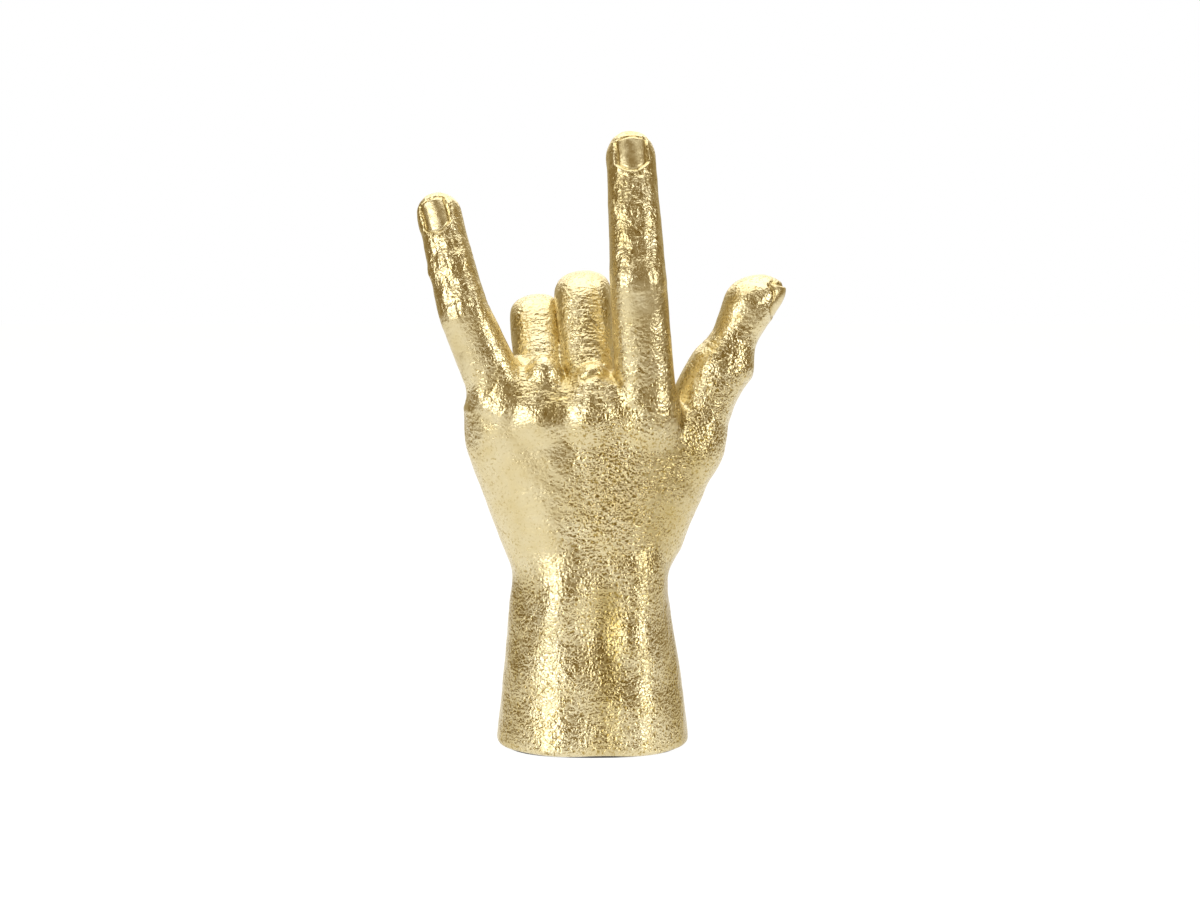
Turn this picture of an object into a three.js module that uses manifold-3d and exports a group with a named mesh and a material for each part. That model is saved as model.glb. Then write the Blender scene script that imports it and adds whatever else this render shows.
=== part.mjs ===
// Hand sculpture: a life-size left hand standing on its cut forearm. Thumb, index and little finger are
// stretched out, the middle and the ring finger are folded into the palm.
// Millimetres and degrees. +Z is up, the back of the hand faces -Y, the thumb side is +X.
// The origin is the middle of the face that the hand stands on.

import * as THREE from 'three';
import { mergeVertices } from 'three/addons/utils/BufferGeometryUtils.js';
import Module from 'manifold-3d';

// Driving sizes
const FINGER_BREADTH = 20; // across the index finger, half-way up its middle bone: it sizes the whole hand
const FOREARM_LENGTH = 67; // from the cut end to the wrist

// Sizes and places on the hand, given in finger-breadths: along the hand they count from the wrist
const breadth = (count) => count * FINGER_BREADTH;
const breadths = (...counts) => counts.map(breadth);
const onForearm = (share) => share * FOREARM_LENGTH;
const aboveWrist = (count) => FOREARM_LENGTH + breadth(count);
const spot = (across, deep, height) => [breadth(across), breadth(deep), height];

// Forearm and palm: at each height, how far the skin reaches from the upright axis to the little finger's
// side, the thumb's side, the back and the palm
const PALM_STATIONS = [
  { height: onForearm(0), reaches: breadths(1.86, 1.82, 1.4, 1.45) }, // cut end
  { height: onForearm(0.45), reaches: breadths(1.7, 1.63, 1.17, 1.275) },
  { height: onForearm(0.835), reaches: breadths(1.59, 1.42, 1, 1.05) },
  { height: onForearm(1), reaches: breadths(1.54, 1.4, 1, 0.98) }, // wrist, the narrowest part
  { height: aboveWrist(0.65), reaches: breadths(1.74, 1.45, 0.97, 0.85) }, // heel of the hand
  { height: aboveWrist(1.85), reaches: breadths(2.1, 1.55, 1.12, 0.5) },
  { height: aboveWrist(3.1), reaches: breadths(2.39, 1.45, 1.17, 0.3) }, // row of knuckles
];
const PALM_CAP = breadth(0.35); // rounded top of the palm above its last station
const PALM_SQUARENESS = 2.4; // 2 is an ellipse, more is squarer

// Muscles and bones that swell the palm: each runs between two points and has a radius at both
const THUMB_BALL = {
  from: spot(0.75, 0.35, aboveWrist(0.75)),
  to: spot(1.55, 0.2, aboveWrist(2.15)),
  radii: breadths(0.575, 0.5),
};
const THUMB_BONE = {
  from: spot(1.125, 0.1, aboveWrist(0.75)),
  to: spot(1.875, -0.1, aboveWrist(2.4)),
  radii: breadths(0.55, 0.525),
};
const THUMB_WEB = {
  from: spot(1.3, -0.3, aboveWrist(1.65)),
  to: spot(1.5, -0.4, aboveWrist(2.55)),
  radii: breadths(0.4, 0.35),
};
const LITTLE_BALL = {
  from: spot(-0.95, 0.25, aboveWrist(0.7)),
  to: spot(-1.775, -0.25, aboveWrist(2.5)),
  radii: breadths(0.575, 0.525),
};
const ULNA = {
  from: spot(-0.575, -0.825, onForearm(0.03)),
  to: spot(-0.5, -0.625, aboveWrist(0.15)),
  radii: breadths(0.475, 0.4),
};
const RADIUS_BONE = {
  from: spot(0.8, -0.9, onForearm(0.03)),
  to: spot(0.725, -0.62, aboveWrist(0.05)),
  radii: breadths(0.35, 0.315),
};
const MUSCLE_BLEND = breadth(0.5); // how softly the swellings run into each other
const CARPUS_HEIGHT = aboveWrist(0.9); // where the bones of the hand's back begin
const CARPUS_DEPTH = breadth(0.475); // from the upright axis towards the back of the hand
const CARPUS_SPREAD = 0.5; // of those beginnings, over the spread of the knuckles
const HAND_BONE_RADIUS = breadth(0.45); // where those bones begin
const KNUCKLE_RADIUS = breadth(0.4); // where they end
const KNUCKLE_CAP_RADIUS = breadth(0.325); // at the top of a folded finger's knuckle
const HAND_BONE_BLEND = breadth(0.35);
const KNUCKLE_RISE = breadth(0.025); // from the finger's joint towards the back of the hand
const ROOT_BLEND = breadth(0.3); // how softly the finger roots run into the palm
const CREASE_BLEND = breadth(0.04); // past the web, where neighbouring roots only touch
const WEB_FADE = breadth(0.45); // along the finger, from the web to the bare root
const ROOT_REACH = breadth(0.2); // of a finger root past its glue joint, as the web beside the finger

// Fingers: the joint each grows from, the way it points, bone lengths, bends towards the palm and widths.
// Widths are taken at the knuckle, half-way up each bone and at each joint, and where the tip begins.
const INDEX = {
  knuckle: spot(0.99, -0.75, aboveWrist(3.05)),
  crest: breadth(0.05), // height of the hand bone's end above the joint
  lean: -4, // towards the thumb side
  pitch: -7, // towards the palm
  roll: 4, // turn of the finger's back towards the thumb side
  sway: 2, // sideways bend past the middle joint, towards the thumb side
  web: breadth(0.65), // from the knuckle to the web beside the finger
  seam: breadth(0.85), // and to the glue joint
  bones: breadths(2.3, 1.5, 1.475),
  bends: [18, 5],
  widths: breadths(1.15, 1.08, 1.05, 1, 0.95, 0.915, 0.91),
  cap: 0, // height of a folded finger's knuckle above the joint
  padSwell: 0, // of the pad on the first bone
  neck: 0, // by which the pad is drawn in past the first joint
  jointSwell: 0, // of the back past the first joint
  tip: breadth(0.49),
  tipRise: 0, // of the tip's end towards the back
};
const MIDDLE = {
  knuckle: spot(-0.02, -0.8, aboveWrist(3.1)),
  crest: breadth(-0.1),
  lean: -5,
  pitch: 27,
  roll: 0,
  sway: 0,
  web: breadth(0.25),
  seam: breadth(0.7),
  bones: breadths(2.425, 1.35, 1.25),
  bends: [118, 86],
  widths: breadths(0.98, 1.01, 1.08, 0.98, 0.92, 0.88, 0.86),
  cap: breadth(0.6),
  padSwell: 0,
  neck: 0,
  jointSwell: 0,
  tip: breadth(0.45),
  tipRise: 0,
};
const RING = {
  knuckle: spot(-0.915, -0.725, aboveWrist(3.05)),
  crest: breadth(-0.1),
  lean: -6,
  pitch: 35,
  roll: -4,
  sway: 0,
  web: breadth(0.25),
  seam: breadth(0.7),
  bones: breadths(2.2, 1.25, 1.2),
  bends: [116, 84],
  widths: breadths(0.92, 0.96, 0.99, 0.9, 0.85, 0.83, 0.81),
  cap: breadth(0.775),
  padSwell: 0,
  neck: 0,
  jointSwell: 0,
  tip: breadth(0.425),
  tipRise: 0,
};
const LITTLE = {
  knuckle: spot(-1.565, -0.55, aboveWrist(3)),
  crest: breadth(0.1),
  lean: -24,
  pitch: -5,
  roll: -8,
  sway: 6.5,
  web: breadth(0.8),
  seam: breadth(0.85),
  bones: breadths(1.8, 1.2, 1.375),
  bends: [15, 5],
  widths: breadths(1.17, 1.06, 1.01, 0.93, 0.87, 0.83, 0.82),
  cap: 0,
  padSwell: 0,
  neck: 0,
  jointSwell: 0,
  tip: breadth(0.425),
  tipRise: 0,
};
const THUMB = {
  knuckle: spot(1.875, -0.1, aboveWrist(2.425)),
  crest: 0,
  lean: 18.5,
  pitch: 2,
  roll: 78,
  sway: 0,
  web: breadth(0.4),
  seam: breadth(0.65),
  bones: breadths(1.5, 1.95),
  bends: [-7.5],
  widths: breadths(1.175, 1.13, 1.22, 0.97, 1.09),
  cap: 0,
  padSwell: breadth(0.15),
  neck: breadth(0.06),
  jointSwell: breadth(0.1),
  tip: breadth(0.675),
  tipRise: breadth(0.16),
};
const BACK_DEPTH = 0.44; // of a finger, from its middle line to its back, over its width
const PAD_DEPTH = 0.46; // and to the palm side
const BACK_SQUARENESS = 2.3; // of a finger's section
const PAD_SQUARENESS = 2.05; // on its palm side
const PAD_PLACE = 0.57; // middle of a swollen pad, over the first bone's length
const PAD_LENGTH = breadth(0.45);
const NECK_PLACE = breadth(0.6); // of a neck in the pad, from the first joint
const NECK_LENGTH = breadth(0.3);
const SWELL_PLACE = breadth(0.2); // of a swollen back, from the first joint
const SWELL_LENGTH = breadth(0.32);
const FOLD_DEPTH = 0.5; // share of the pad that a joint bent to a right angle or more folds away
const FOLD_LENGTH = breadth(0.4); // of such a fold along the finger
const BEND_SLACK = breadth(0.03); // room left inside a fold, so that its two sides don't meet
const LEAST_BEND_LENGTH = breadth(0.6); // of a nearly straight joint, along the finger

// Nails, raised on the backs of the finger ends
const NAIL_LENGTH = breadth(0.6);
const NAIL_WIDTH = 0.62; // over the finger's width there
const NAIL_FROM_TIP = breadth(0.2);
const NAIL_RISE = 0.45;
const NAIL_BOW = breadth(0.06); // of its free edge

// Hidden parts
const GLUE_GAP = 0.3; // between pieces that are glued or laid together
const WEB_GAP = 0.8; // between a finger and the web beside it
const ROD_DIAMETER = 4;
const INDEX_ROD_LENGTH = breadth(2.3);
const LITTLE_ROD_LENGTH = breadth(1.8);
const THUMB_ROD_LENGTH = breadth(1.6);
const MIDDLE_PIN_LENGTH = breadth(1.2);
const RING_PIN_LENGTH = breadth(1.1);
const SHELL_WALL = 6;
const HOLLOW_TOP = aboveWrist(1.15); // height of the hollow's rounded end
const HOLLOW_CAP = breadth(0.7); // of it, rounded
const PLATE_THICKNESS = 5;
const PLATE_LEDGE = 2.5; // of the shell, that the plate bears on
const FELT_THICKNESS = 1;
const FELT_INSET = 4; // from the edge of the forearm

// Fineness of the skins
const PALM_CELL = breadth(0.2);
const FOREARM_CELL = breadth(0.375); // along the even forearm
const ROOT_CELL = breadth(0.15); // up the finger roots
const RING_POINTS = 16;
const RING_STEP = breadth(0.19); // along a finger
const TIP_RINGS = 4;
const ROUND_POINTS = 16;
const NAIL_POINTS = 5;
const SPINE_SUBSTEPS = 8; // between two rings of a finger
const PULL_STEPS = 3; // by which a point of the palm moves onto its skin
const PULL_PROBE = 0.05; // over which the skin's slope is measured
const LEAST_SLOPE = 0.1; // of the skin, so that a point isn't pulled away
const LEAST_SPAN = 0.001; // between two places on a curve
const MIDDLE_SHARE = 0.1; // of an oval, inside which its distance no longer changes
const MERGE_DISTANCE = 1e-4;

const GOLD = { color: 0xd9bd6a, metalness: 0.9, roughness: 0.38 };
const STEEL = { color: 0xb4b8bc, metalness: 1, roughness: 0.35 };
const PLASTER = { color: 0xcfc9bd, metalness: 0, roughness: 0.9 };
const BOARD = { color: 0x5b4a38, metalness: 0, roughness: 0.8 };
const FELT = { color: 0x1f1f21, metalness: 0, roughness: 1 };

const { Vector3 } = THREE;
const TURN = 2 * Math.PI;
const radians = THREE.MathUtils.degToRad;
const clamp = THREE.MathUtils.clamp;

// A step from 0 to 1 that starts and ends level, and its steepest slope
const softStep = (value) => {
  const t = clamp(value, 0, 1);
  return t * t * (3 - 2 * t);
};
const SOFT_STEP_PEAK = 1.5;

// A rise to 1 and back to 0, and the squared-off sine of an oval that is fuller than an ellipse
const bell = (away, length) => Math.exp(-((away / length) ** 2));
const fuller = (sine, squareness) => Math.sign(sine) * Math.abs(sine) ** (2 / squareness);

// A smooth curve through values given at rising places
function curveThrough(places, values) {
  const last = places.length - 1;
  const slopes = places.map((place, i) => {
    const before = Math.max(i - 1, 0);
    const after = Math.min(i + 1, last);
    return (values[after] - values[before]) / (places[after] - places[before]);
  });
  return (place) => {
    let i = 0;
    while (i < last - 1 && place > places[i + 1]) i += 1;
    const span = Math.max(places[i + 1] - places[i], LEAST_SPAN);
    const t = clamp((place - places[i]) / span, 0, 1);
    const leave = t * (1 - t) * (1 - t) * span * slopes[i];
    const arrive = t * t * (1 - t) * span * slopes[i + 1];
    return values[i] + (values[i + 1] - values[i]) * softStep(t) + leave - arrive;
  };
}

// The oval of the forearm and palm at a height: its middle and half sizes, drawn in by an inset
const stationHeights = PALM_STATIONS.map((station) => station.height);
const reachCurves = [0, 1, 2, 3].map((side) =>
  curveThrough(stationHeights, PALM_STATIONS.map((station) => station.reaches[side])));
function palmOval(z, inset = 0) {
  const [little, thumb, back, palm] = reachCurves.map((reach) => reach(z));
  return {
    x: (thumb - little) / 2,
    y: (palm - back) / 2,
    halfWidth: (thumb + little) / 2 - inset,
    halfDepth: (palm + back) / 2 - inset,
  };
}

// Points round a palm oval at height z
function palmRing(oval, z, scale = 1) {
  return Array.from({ length: 2 * RING_POINTS }, (_, i) => {
    const angle = (TURN * i) / (2 * RING_POINTS);
    const x = oval.x + scale * oval.halfWidth * fuller(Math.cos(angle), PALM_SQUARENESS);
    const y = oval.y + scale * oval.halfDepth * fuller(Math.sin(angle), PALM_SQUARENESS);
    return new Vector3(x, y, z);
  });
}

// Closed skin over rings of points that run the same way round, flat at both ends
function skinOver(rings) {
  const count = rings[0].length;
  const points = rings.flat();
  const faces = [];
  for (let r = 0; r + 1 < rings.length; r += 1) {
    for (let i = 0; i < count; i += 1) {
      const a = r * count + i;
      const b = r * count + ((i + 1) % count);
      faces.push(a, b, b + count, a, b + count, a + count);
    }
  }
  const closeEnd = (first, flip) => {
    const middle = new Vector3();
    for (let i = 0; i < count; i += 1) middle.add(points[first + i]);
    points.push(middle.divideScalar(count));
    const centre = points.length - 1;
    for (let i = 0; i < count; i += 1) {
      const a = first + i;
      const b = first + ((i + 1) % count);
      faces.push(centre, flip ? b : a, flip ? a : b);
    }
  };
  closeEnd(0, true);
  closeEnd((rings.length - 1) * count, false);
  const skin = new THREE.BufferGeometry().setFromPoints(points);
  skin.setIndex(faces);
  return skin;
}

// A finger's own directions: along it, towards its back and across it to the thumb side
function fingerFrame(finger) {
  const lean = radians(finger.lean);
  const pitch = radians(finger.pitch);
  const along = new Vector3(0, Math.sin(pitch), 0);
  along.x = Math.sin(lean) * Math.cos(pitch);
  along.z = Math.cos(lean) * Math.cos(pitch);
  const back = new Vector3(0, -1, 0);
  back.addScaledVector(along, -back.dot(along)).normalize();
  back.applyAxisAngle(along, radians(finger.roll));
  const across = new Vector3().crossVectors(along, back);
  return { knuckle: new Vector3(...finger.knuckle), along, back, across };
}

// Places along a finger: its joints, the stations of its widths and its end
function fingerPlaces(finger) {
  const joints = [];
  const stations = [0];
  let end = 0;
  finger.bones.forEach((bone, i) => {
    const last = i === finger.bones.length - 1;
    if (last) {
      stations.push(end + (bone - finger.tip) / 2, end + bone - finger.tip);
    } else {
      stations.push(end + bone / 2, end + bone);
      joints.push(end + bone);
    }
    end += bone;
  });
  return { joints, stations, end, tipStart: end - finger.tip };
}

// Half width and depths of a finger at a place along it: its pad may swell on the first bone and narrow to
// a neck past the joint, and is drawn in where a joint folds, and its back may swell past the first joint
function fingerGirth(finger) {
  const places = fingerPlaces(finger);
  const widthAt = curveThrough(places.stations, finger.widths);
  const folds = finger.bends.map((bend) => FOLD_DEPTH * clamp(bend / 90, 0, 1));
  return (place) => {
    const width = widthAt(place);
    const folded = folds.reduce(
      (sum, fold, i) => sum + fold * bell(place - places.joints[i], FOLD_LENGTH),
      0,
    );
    const past = place - places.joints[0];
    const swell = finger.padSwell * bell(place - PAD_PLACE * finger.bones[0], PAD_LENGTH);
    const neck = finger.neck * bell(past - NECK_PLACE, NECK_LENGTH);
    const pad = width * PAD_DEPTH * (1 - folded) + swell - neck;
    const back = width * BACK_DEPTH + finger.jointSwell * bell(past - SWELL_PLACE, SWELL_LENGTH);
    return { across: width / 2, back, pad };
  };
}

// The finger's middle line as points with directions, bent at each joint over a length that its pad allows
function fingerSpine(finger, from) {
  const frame = fingerFrame(finger);
  const places = fingerPlaces(finger);
  const girth = fingerGirth(finger);
  const bends = finger.bends.map((bend, i) => {
    const angle = radians(bend);
    const side = bend > 0 ? girth(places.joints[i]).pad : girth(places.joints[i]).back;
    const length = Math.max(SOFT_STEP_PEAK * Math.abs(angle) * (side + BEND_SLACK), LEAST_BEND_LENGTH);
    return { angle, start: places.joints[i] - length / 2, length };
  });
  const turnAt = (place) =>
    bends.reduce((sum, bend) => sum + bend.angle * softStep((place - bend.start) / bend.length), 0);
  const swayStart = places.joints[0] - LEAST_BEND_LENGTH;
  const swayAt = (place) => radians(finger.sway) * softStep((place - swayStart) / (2 * LEAST_BEND_LENGTH));
  const directionAt = (place) => {
    const turn = turnAt(place);
    return frame.along.clone().multiplyScalar(Math.cos(turn)).addScaledVector(frame.back, -Math.sin(turn));
  };
  const count = Math.ceil((places.tipStart - from) / RING_STEP);
  const step = (places.tipStart - from) / count;
  const point = frame.knuckle.clone().addScaledVector(frame.along, from);
  const spine = [];
  for (let i = 0; i <= count; i += 1) {
    const place = from + i * step;
    const along = directionAt(place);
    spine.push({
      place,
      point: point.clone(),
      along,
      back: new Vector3().crossVectors(frame.across, along),
      across: frame.across,
    });
    const substep = step / SPINE_SUBSTEPS;
    for (let k = 0; k < SPINE_SUBSTEPS; k += 1) {
      const middle = place + (k + 0.5) * substep;
      point.addScaledVector(directionAt(middle), substep);
      point.addScaledVector(frame.across, Math.sin(swayAt(middle)) * substep);
    }
  }
  return spine;
}

// Skin of a finger from a place on it to its tip, swollen all round by a clearance
function fingerSkin(finger, from, swell = 0) {
  const girth = fingerGirth(finger);
  const spine = fingerSpine(finger, from);
  const ringAt = (stop, shift, scale, rise = 0) => {
    const size = girth(stop.place);
    const centre = stop.point.clone().addScaledVector(stop.along, shift).addScaledVector(stop.back, rise);
    return Array.from({ length: RING_POINTS }, (_, i) => {
      const angle = (TURN * i) / RING_POINTS;
      const onBack = Math.sin(angle) > 0;
      const squareness = onBack ? BACK_SQUARENESS : PAD_SQUARENESS;
      const toThumb = -(size.across + swell) * fuller(Math.cos(angle), squareness);
      const toBack = ((onBack ? size.back : size.pad) + swell) * fuller(Math.sin(angle), squareness);
      return centre
        .clone()
        .addScaledVector(stop.across, scale * toThumb)
        .addScaledVector(stop.back, scale * toBack);
    });
  };
  const rings = spine.map((stop) => ringAt(stop, 0, 1));
  const last = spine[spine.length - 1];
  for (let i = 1; i <= TIP_RINGS; i += 1) {
    const angle = (Math.PI / 2) * (i / (TIP_RINGS + 0.5));
    const risen = finger.tipRise * Math.sin(angle) ** 2;
    rings.push(ringAt(last, (finger.tip + swell) * Math.sin(angle), Math.cos(angle), risen));
  }
  return skinOver(rings);
}

// Raised nail: the finger's skin, swollen by the nail's rise, inside the nail's outline
function nailBody(finger) {
  const spine = fingerSpine(finger, finger.seam);
  const end = spine[spine.length - 1];
  const half = (NAIL_WIDTH * finger.widths[finger.widths.length - 1]) / 2;
  const top = finger.tip - NAIL_FROM_TIP;
  const bottom = top - NAIL_LENGTH;
  const outline = new THREE.Shape();
  outline.moveTo(half, bottom + half);
  outline.lineTo(half, top - NAIL_BOW);
  outline.quadraticCurveTo(0, top + NAIL_BOW, -half, top - NAIL_BOW);
  outline.lineTo(-half, bottom + half);
  outline.bezierCurveTo(-half, bottom - half / 3, half, bottom - half / 3, half, bottom + half);
  const prism = new THREE.ExtrudeGeometry(outline, {
    depth: 2 * half + NAIL_LENGTH,
    bevelEnabled: false,
    curveSegments: NAIL_POINTS,
  });
  prism.applyMatrix4(new THREE.Matrix4().makeBasis(end.across, end.along, end.back).setPosition(end.point));
  return solid(fingerSkin(finger, finger.seam + GLUE_GAP, NAIL_RISE)).intersect(solid(prism));
}

// Signed distances, to first order, that the palm's skin is drawn from
const smoothUnion = (a, b, blend) => {
  const near = Math.max(blend - Math.abs(a - b), 0) / blend;
  return Math.min(a, b) - (near * near * blend) / 4;
};
function ovalDistance(parts, sizes, power) {
  const shares = parts.map((part, i) => Math.abs(part) / sizes[i]);
  const radius = shares.reduce((sum, share) => sum + share ** power, 0) ** (1 / power);
  if (radius < MIDDLE_SHARE) return -Math.min(...sizes);
  const slopes = shares.map((share, i) => (share / radius) ** (power - 1) / sizes[i]);
  return (radius - 1) / Math.hypot(...slopes);
}
function palmDistance(p) {
  const top = stationHeights[stationHeights.length - 1];
  const oval = palmOval(Math.min(p.z, top));
  const parts = [p.x - oval.x, p.y - oval.y, Math.max(p.z - top, 0)];
  return ovalDistance(parts, [oval.halfWidth, oval.halfDepth, PALM_CAP], PALM_SQUARENESS);
}
function muscleDistance(p, muscle) {
  const [from, to] = [new Vector3(...muscle.from), new Vector3(...muscle.to)];
  const line = to.clone().sub(from);
  const share = clamp(p.clone().sub(from).dot(line) / line.lengthSq(), 0, 1);
  const radius = muscle.radii[0] + share * (muscle.radii[1] - muscle.radii[0]);
  return from.addScaledVector(line, share).distanceTo(p) - radius;
}
function rootDistance(p, finger, frame, girth) {
  const offset = p.clone().sub(frame.knuckle);
  const place = offset.dot(frame.along);
  const size = girth(clamp(place, 0, finger.seam + ROOT_REACH));
  const toBack = offset.dot(frame.back);
  const parts = [offset.dot(frame.across), toBack, Math.min(place, 0)];
  const depth = toBack > 0 ? size.back : size.pad;
  const squareness = toBack > 0 ? BACK_SQUARENESS : PAD_SQUARENESS;
  const pastEnd = place - finger.seam - ROOT_REACH;
  const distance = Math.max(ovalDistance(parts, [size.across, depth, size.across], squareness), pastEnd);
  const bare = softStep((place - finger.web) / WEB_FADE);
  return { distance, blend: ROOT_BLEND + (CREASE_BLEND - ROOT_BLEND) * bare };
}

const FINGERS = { index: INDEX, middle: MIDDLE, ring: RING, little: LITTLE, thumb: THUMB };
const MUSCLES = [THUMB_BALL, THUMB_BONE, LITTLE_BALL, THUMB_WEB, ULNA, RADIUS_BONE];
const roots = Object.values(FINGERS).map((finger) => ({
  finger,
  frame: fingerFrame(finger),
  girth: fingerGirth(finger),
}));
const handBones = [INDEX, MIDDLE, RING, LITTLE].map((finger) => {
  const [x, y, z] = finger.knuckle;
  const from = [CARPUS_SPREAD * x, -CARPUS_DEPTH, CARPUS_HEIGHT];
  const to = [x, y - KNUCKLE_RISE, z + finger.crest];
  return { from, to, radii: [HAND_BONE_RADIUS, KNUCKLE_RADIUS] };
});
const knuckleCaps = [MIDDLE, RING].map((finger) => {
  const [x, y, z] = finger.knuckle;
  const from = [x, y - KNUCKLE_RISE, z + finger.crest];
  return { from, to: [x, y, z + finger.cap], radii: [KNUCKLE_RADIUS, KNUCKLE_CAP_RADIUS] };
});
function handDistance(p) {
  let distance = palmDistance(p);
  for (const muscle of MUSCLES) {
    distance = smoothUnion(distance, muscleDistance(p, muscle), MUSCLE_BLEND);
  }
  for (const bone of [...handBones, ...knuckleCaps]) {
    distance = smoothUnion(distance, muscleDistance(p, bone), HAND_BONE_BLEND);
  }
  for (const { finger, frame, girth } of roots) {
    const root = rootDistance(p, finger, frame, girth);
    distance = smoothUnion(distance, root.distance, root.blend);
  }
  return Math.max(distance, -p.z - FOREARM_CELL);
}

// Evenly spaced lines between two ends
function linesBetween(low, high, spacing) {
  const count = Math.max(1, Math.ceil((high - low) / spacing));
  return Array.from({ length: count }, (_, i) => low + ((high - low) * i) / count);
}

// Closed skin where a distance is zero: one point in each cell that the skin crosses, pulled onto the skin
function skinWhereZero(distance, xs, ys, zs) {
  const [nx, ny, nz] = [xs.length, ys.length, zs.length];
  const at = (i, j, k) => (k * ny + j) * nx + i;
  const between = (lines, place) => {
    const i = Math.min(Math.floor(place), lines.length - 2);
    return lines[i] + (place - i) * (lines[i + 1] - lines[i]);
  };
  const corner = (i, j, k) => new Vector3(between(xs, i), between(ys, j), between(zs, k));
  const values = new Float64Array(nx * ny * nz);
  for (let k = 0; k < nz; k += 1) {
    for (let j = 0; j < ny; j += 1) {
      for (let i = 0; i < nx; i += 1) values[at(i, j, k)] = distance(corner(i, j, k));
    }
  }
  const steps = [[1, 0, 0], [0, 1, 0], [0, 0, 1]];
  const points = [];
  const pointOf = new Map();
  const pull = (p) => {
    for (let n = 0; n < PULL_STEPS; n += 1) {
      const here = distance(p);
      const slope = new Vector3(...steps.map((step) => {
        const ahead = p.clone().addScaledVector(new Vector3(...step), PULL_PROBE);
        return (distance(ahead) - here) / PULL_PROBE;
      }));
      const size = Math.max(slope.lengthSq(), LEAST_SLOPE);
      p.addScaledVector(slope, -clamp(here / size, -ROOT_CELL / 3, ROOT_CELL / 3));
    }
    return p;
  };
  const cellPoint = (i, j, k) => {
    const key = at(i, j, k);
    if (pointOf.has(key)) return pointOf.get(key);
    const sum = new Vector3();
    let crossings = 0;
    for (let axis = 0; axis < 3; axis += 1) {
      const [di, dj, dk] = steps[axis];
      const others = steps.filter((_, other) => other !== axis);
      for (const a of [0, 1]) {
        for (const b of [0, 1]) {
          const start = [0, 1, 2].map((n) => [i, j, k][n] + a * others[0][n] + b * others[1][n]);
          const first = values[at(...start)];
          const second = values[at(start[0] + di, start[1] + dj, start[2] + dk)];
          if (first < 0 === second < 0) continue;
          const share = first / (first - second);
          sum.add(corner(start[0] + di * share, start[1] + dj * share, start[2] + dk * share));
          crossings += 1;
        }
      }
    }
    points.push(pull(sum.divideScalar(crossings)));
    pointOf.set(key, points.length - 1);
    return points.length - 1;
  };
  const faces = [];
  for (let k = 1; k + 1 < nz; k += 1) {
    for (let j = 1; j + 1 < ny; j += 1) {
      for (let i = 1; i + 1 < nx; i += 1) {
        const inside = values[at(i, j, k)] < 0;
        steps.forEach(([di, dj, dk], axis) => {
          if (inside === values[at(i + di, j + dj, k + dk)] < 0) return;
          const [u, v] = [steps[(axis + 1) % 3], steps[(axis + 2) % 3]];
          const quad = [[0, 0], [1, 0], [1, 1], [0, 1]].map(([a, b]) =>
            cellPoint(i - a * u[0] - b * v[0], j - a * u[1] - b * v[1], k - a * u[2] - b * v[2]));
          if (!inside) quad.reverse();
          faces.push(quad[0], quad[1], quad[2], quad[0], quad[2], quad[3]);
        });
      }
    }
  }
  const skin = new THREE.BufferGeometry().setFromPoints(points);
  skin.setIndex(faces);
  return skin;
}

// Solids to join and cut, and back to geometry
const wasm = await Module();
wasm.setup();
function solid(geometry) {
  const bare = geometry.clone();
  for (const name of Object.keys(bare.attributes)) {
    if (name !== 'position') bare.deleteAttribute(name);
  }
  const merged = mergeVertices(bare, MERGE_DISTANCE);
  return new wasm.Manifold(new wasm.Mesh({
    numProp: 3,
    vertProperties: new Float32Array(merged.attributes.position.array),
    triVerts: new Uint32Array(merged.index.array),
  }));
}
function geometryOf(body) {
  const mesh = body.getMesh();
  const geometry = new THREE.BufferGeometry();
  geometry.setAttribute('position', new THREE.BufferAttribute(mesh.vertProperties, 3));
  geometry.setIndex(new THREE.BufferAttribute(mesh.triVerts, 1));
  geometry.computeVertexNormals();
  return geometry;
}
function blockAt(low, high) {
  const size = high.clone().sub(low);
  const middle = low.clone().add(high).divideScalar(2);
  return solid(new THREE.BoxGeometry(size.x, size.y, size.z).translate(middle.x, middle.y, middle.z));
}

// Round bar in the middle of a finger's glue joint, along the finger's first bone
function barAcross(finger, length, swell = 0) {
  const { knuckle, along } = fingerFrame(finger);
  const radius = ROD_DIAMETER / 2 + swell;
  const bar = new THREE.CylinderGeometry(radius, radius, length + 2 * swell, ROUND_POINTS);
  bar.applyQuaternion(new THREE.Quaternion().setFromUnitVectors(new Vector3(0, 1, 0), along));
  const middle = knuckle.addScaledVector(along, finger.seam + GLUE_GAP / 2);
  return solid(bar.translate(middle.x, middle.y, middle.z));
}

// Upright plug inside the forearm between two heights, its upper end rounded over a cap's height
function forearmPlug(inset, bottom, top, cap) {
  const rings = [];
  const straight = top - cap;
  const count = Math.max(1, Math.round((straight - bottom) / (2 * PALM_CELL)));
  for (let i = 0; i <= count; i += 1) {
    const z = bottom + ((straight - bottom) * i) / count;
    rings.push(palmRing(palmOval(Math.max(z, 0), inset), z));
  }
  for (let i = 1; cap > 0 && i <= TIP_RINGS; i += 1) {
    const angle = (Math.PI / 2) * (i / (TIP_RINGS + 0.5));
    const z = straight + cap * Math.sin(angle);
    rings.push(palmRing(palmOval(straight, inset), z, Math.cos(angle)));
  }
  return solid(skinOver(rings));
}

const BARS = {
  index: INDEX_ROD_LENGTH,
  middle: MIDDLE_PIN_LENGTH,
  ring: RING_PIN_LENGTH,
  little: LITTLE_ROD_LENGTH,
  thumb: THUMB_ROD_LENGTH,
};

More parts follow.
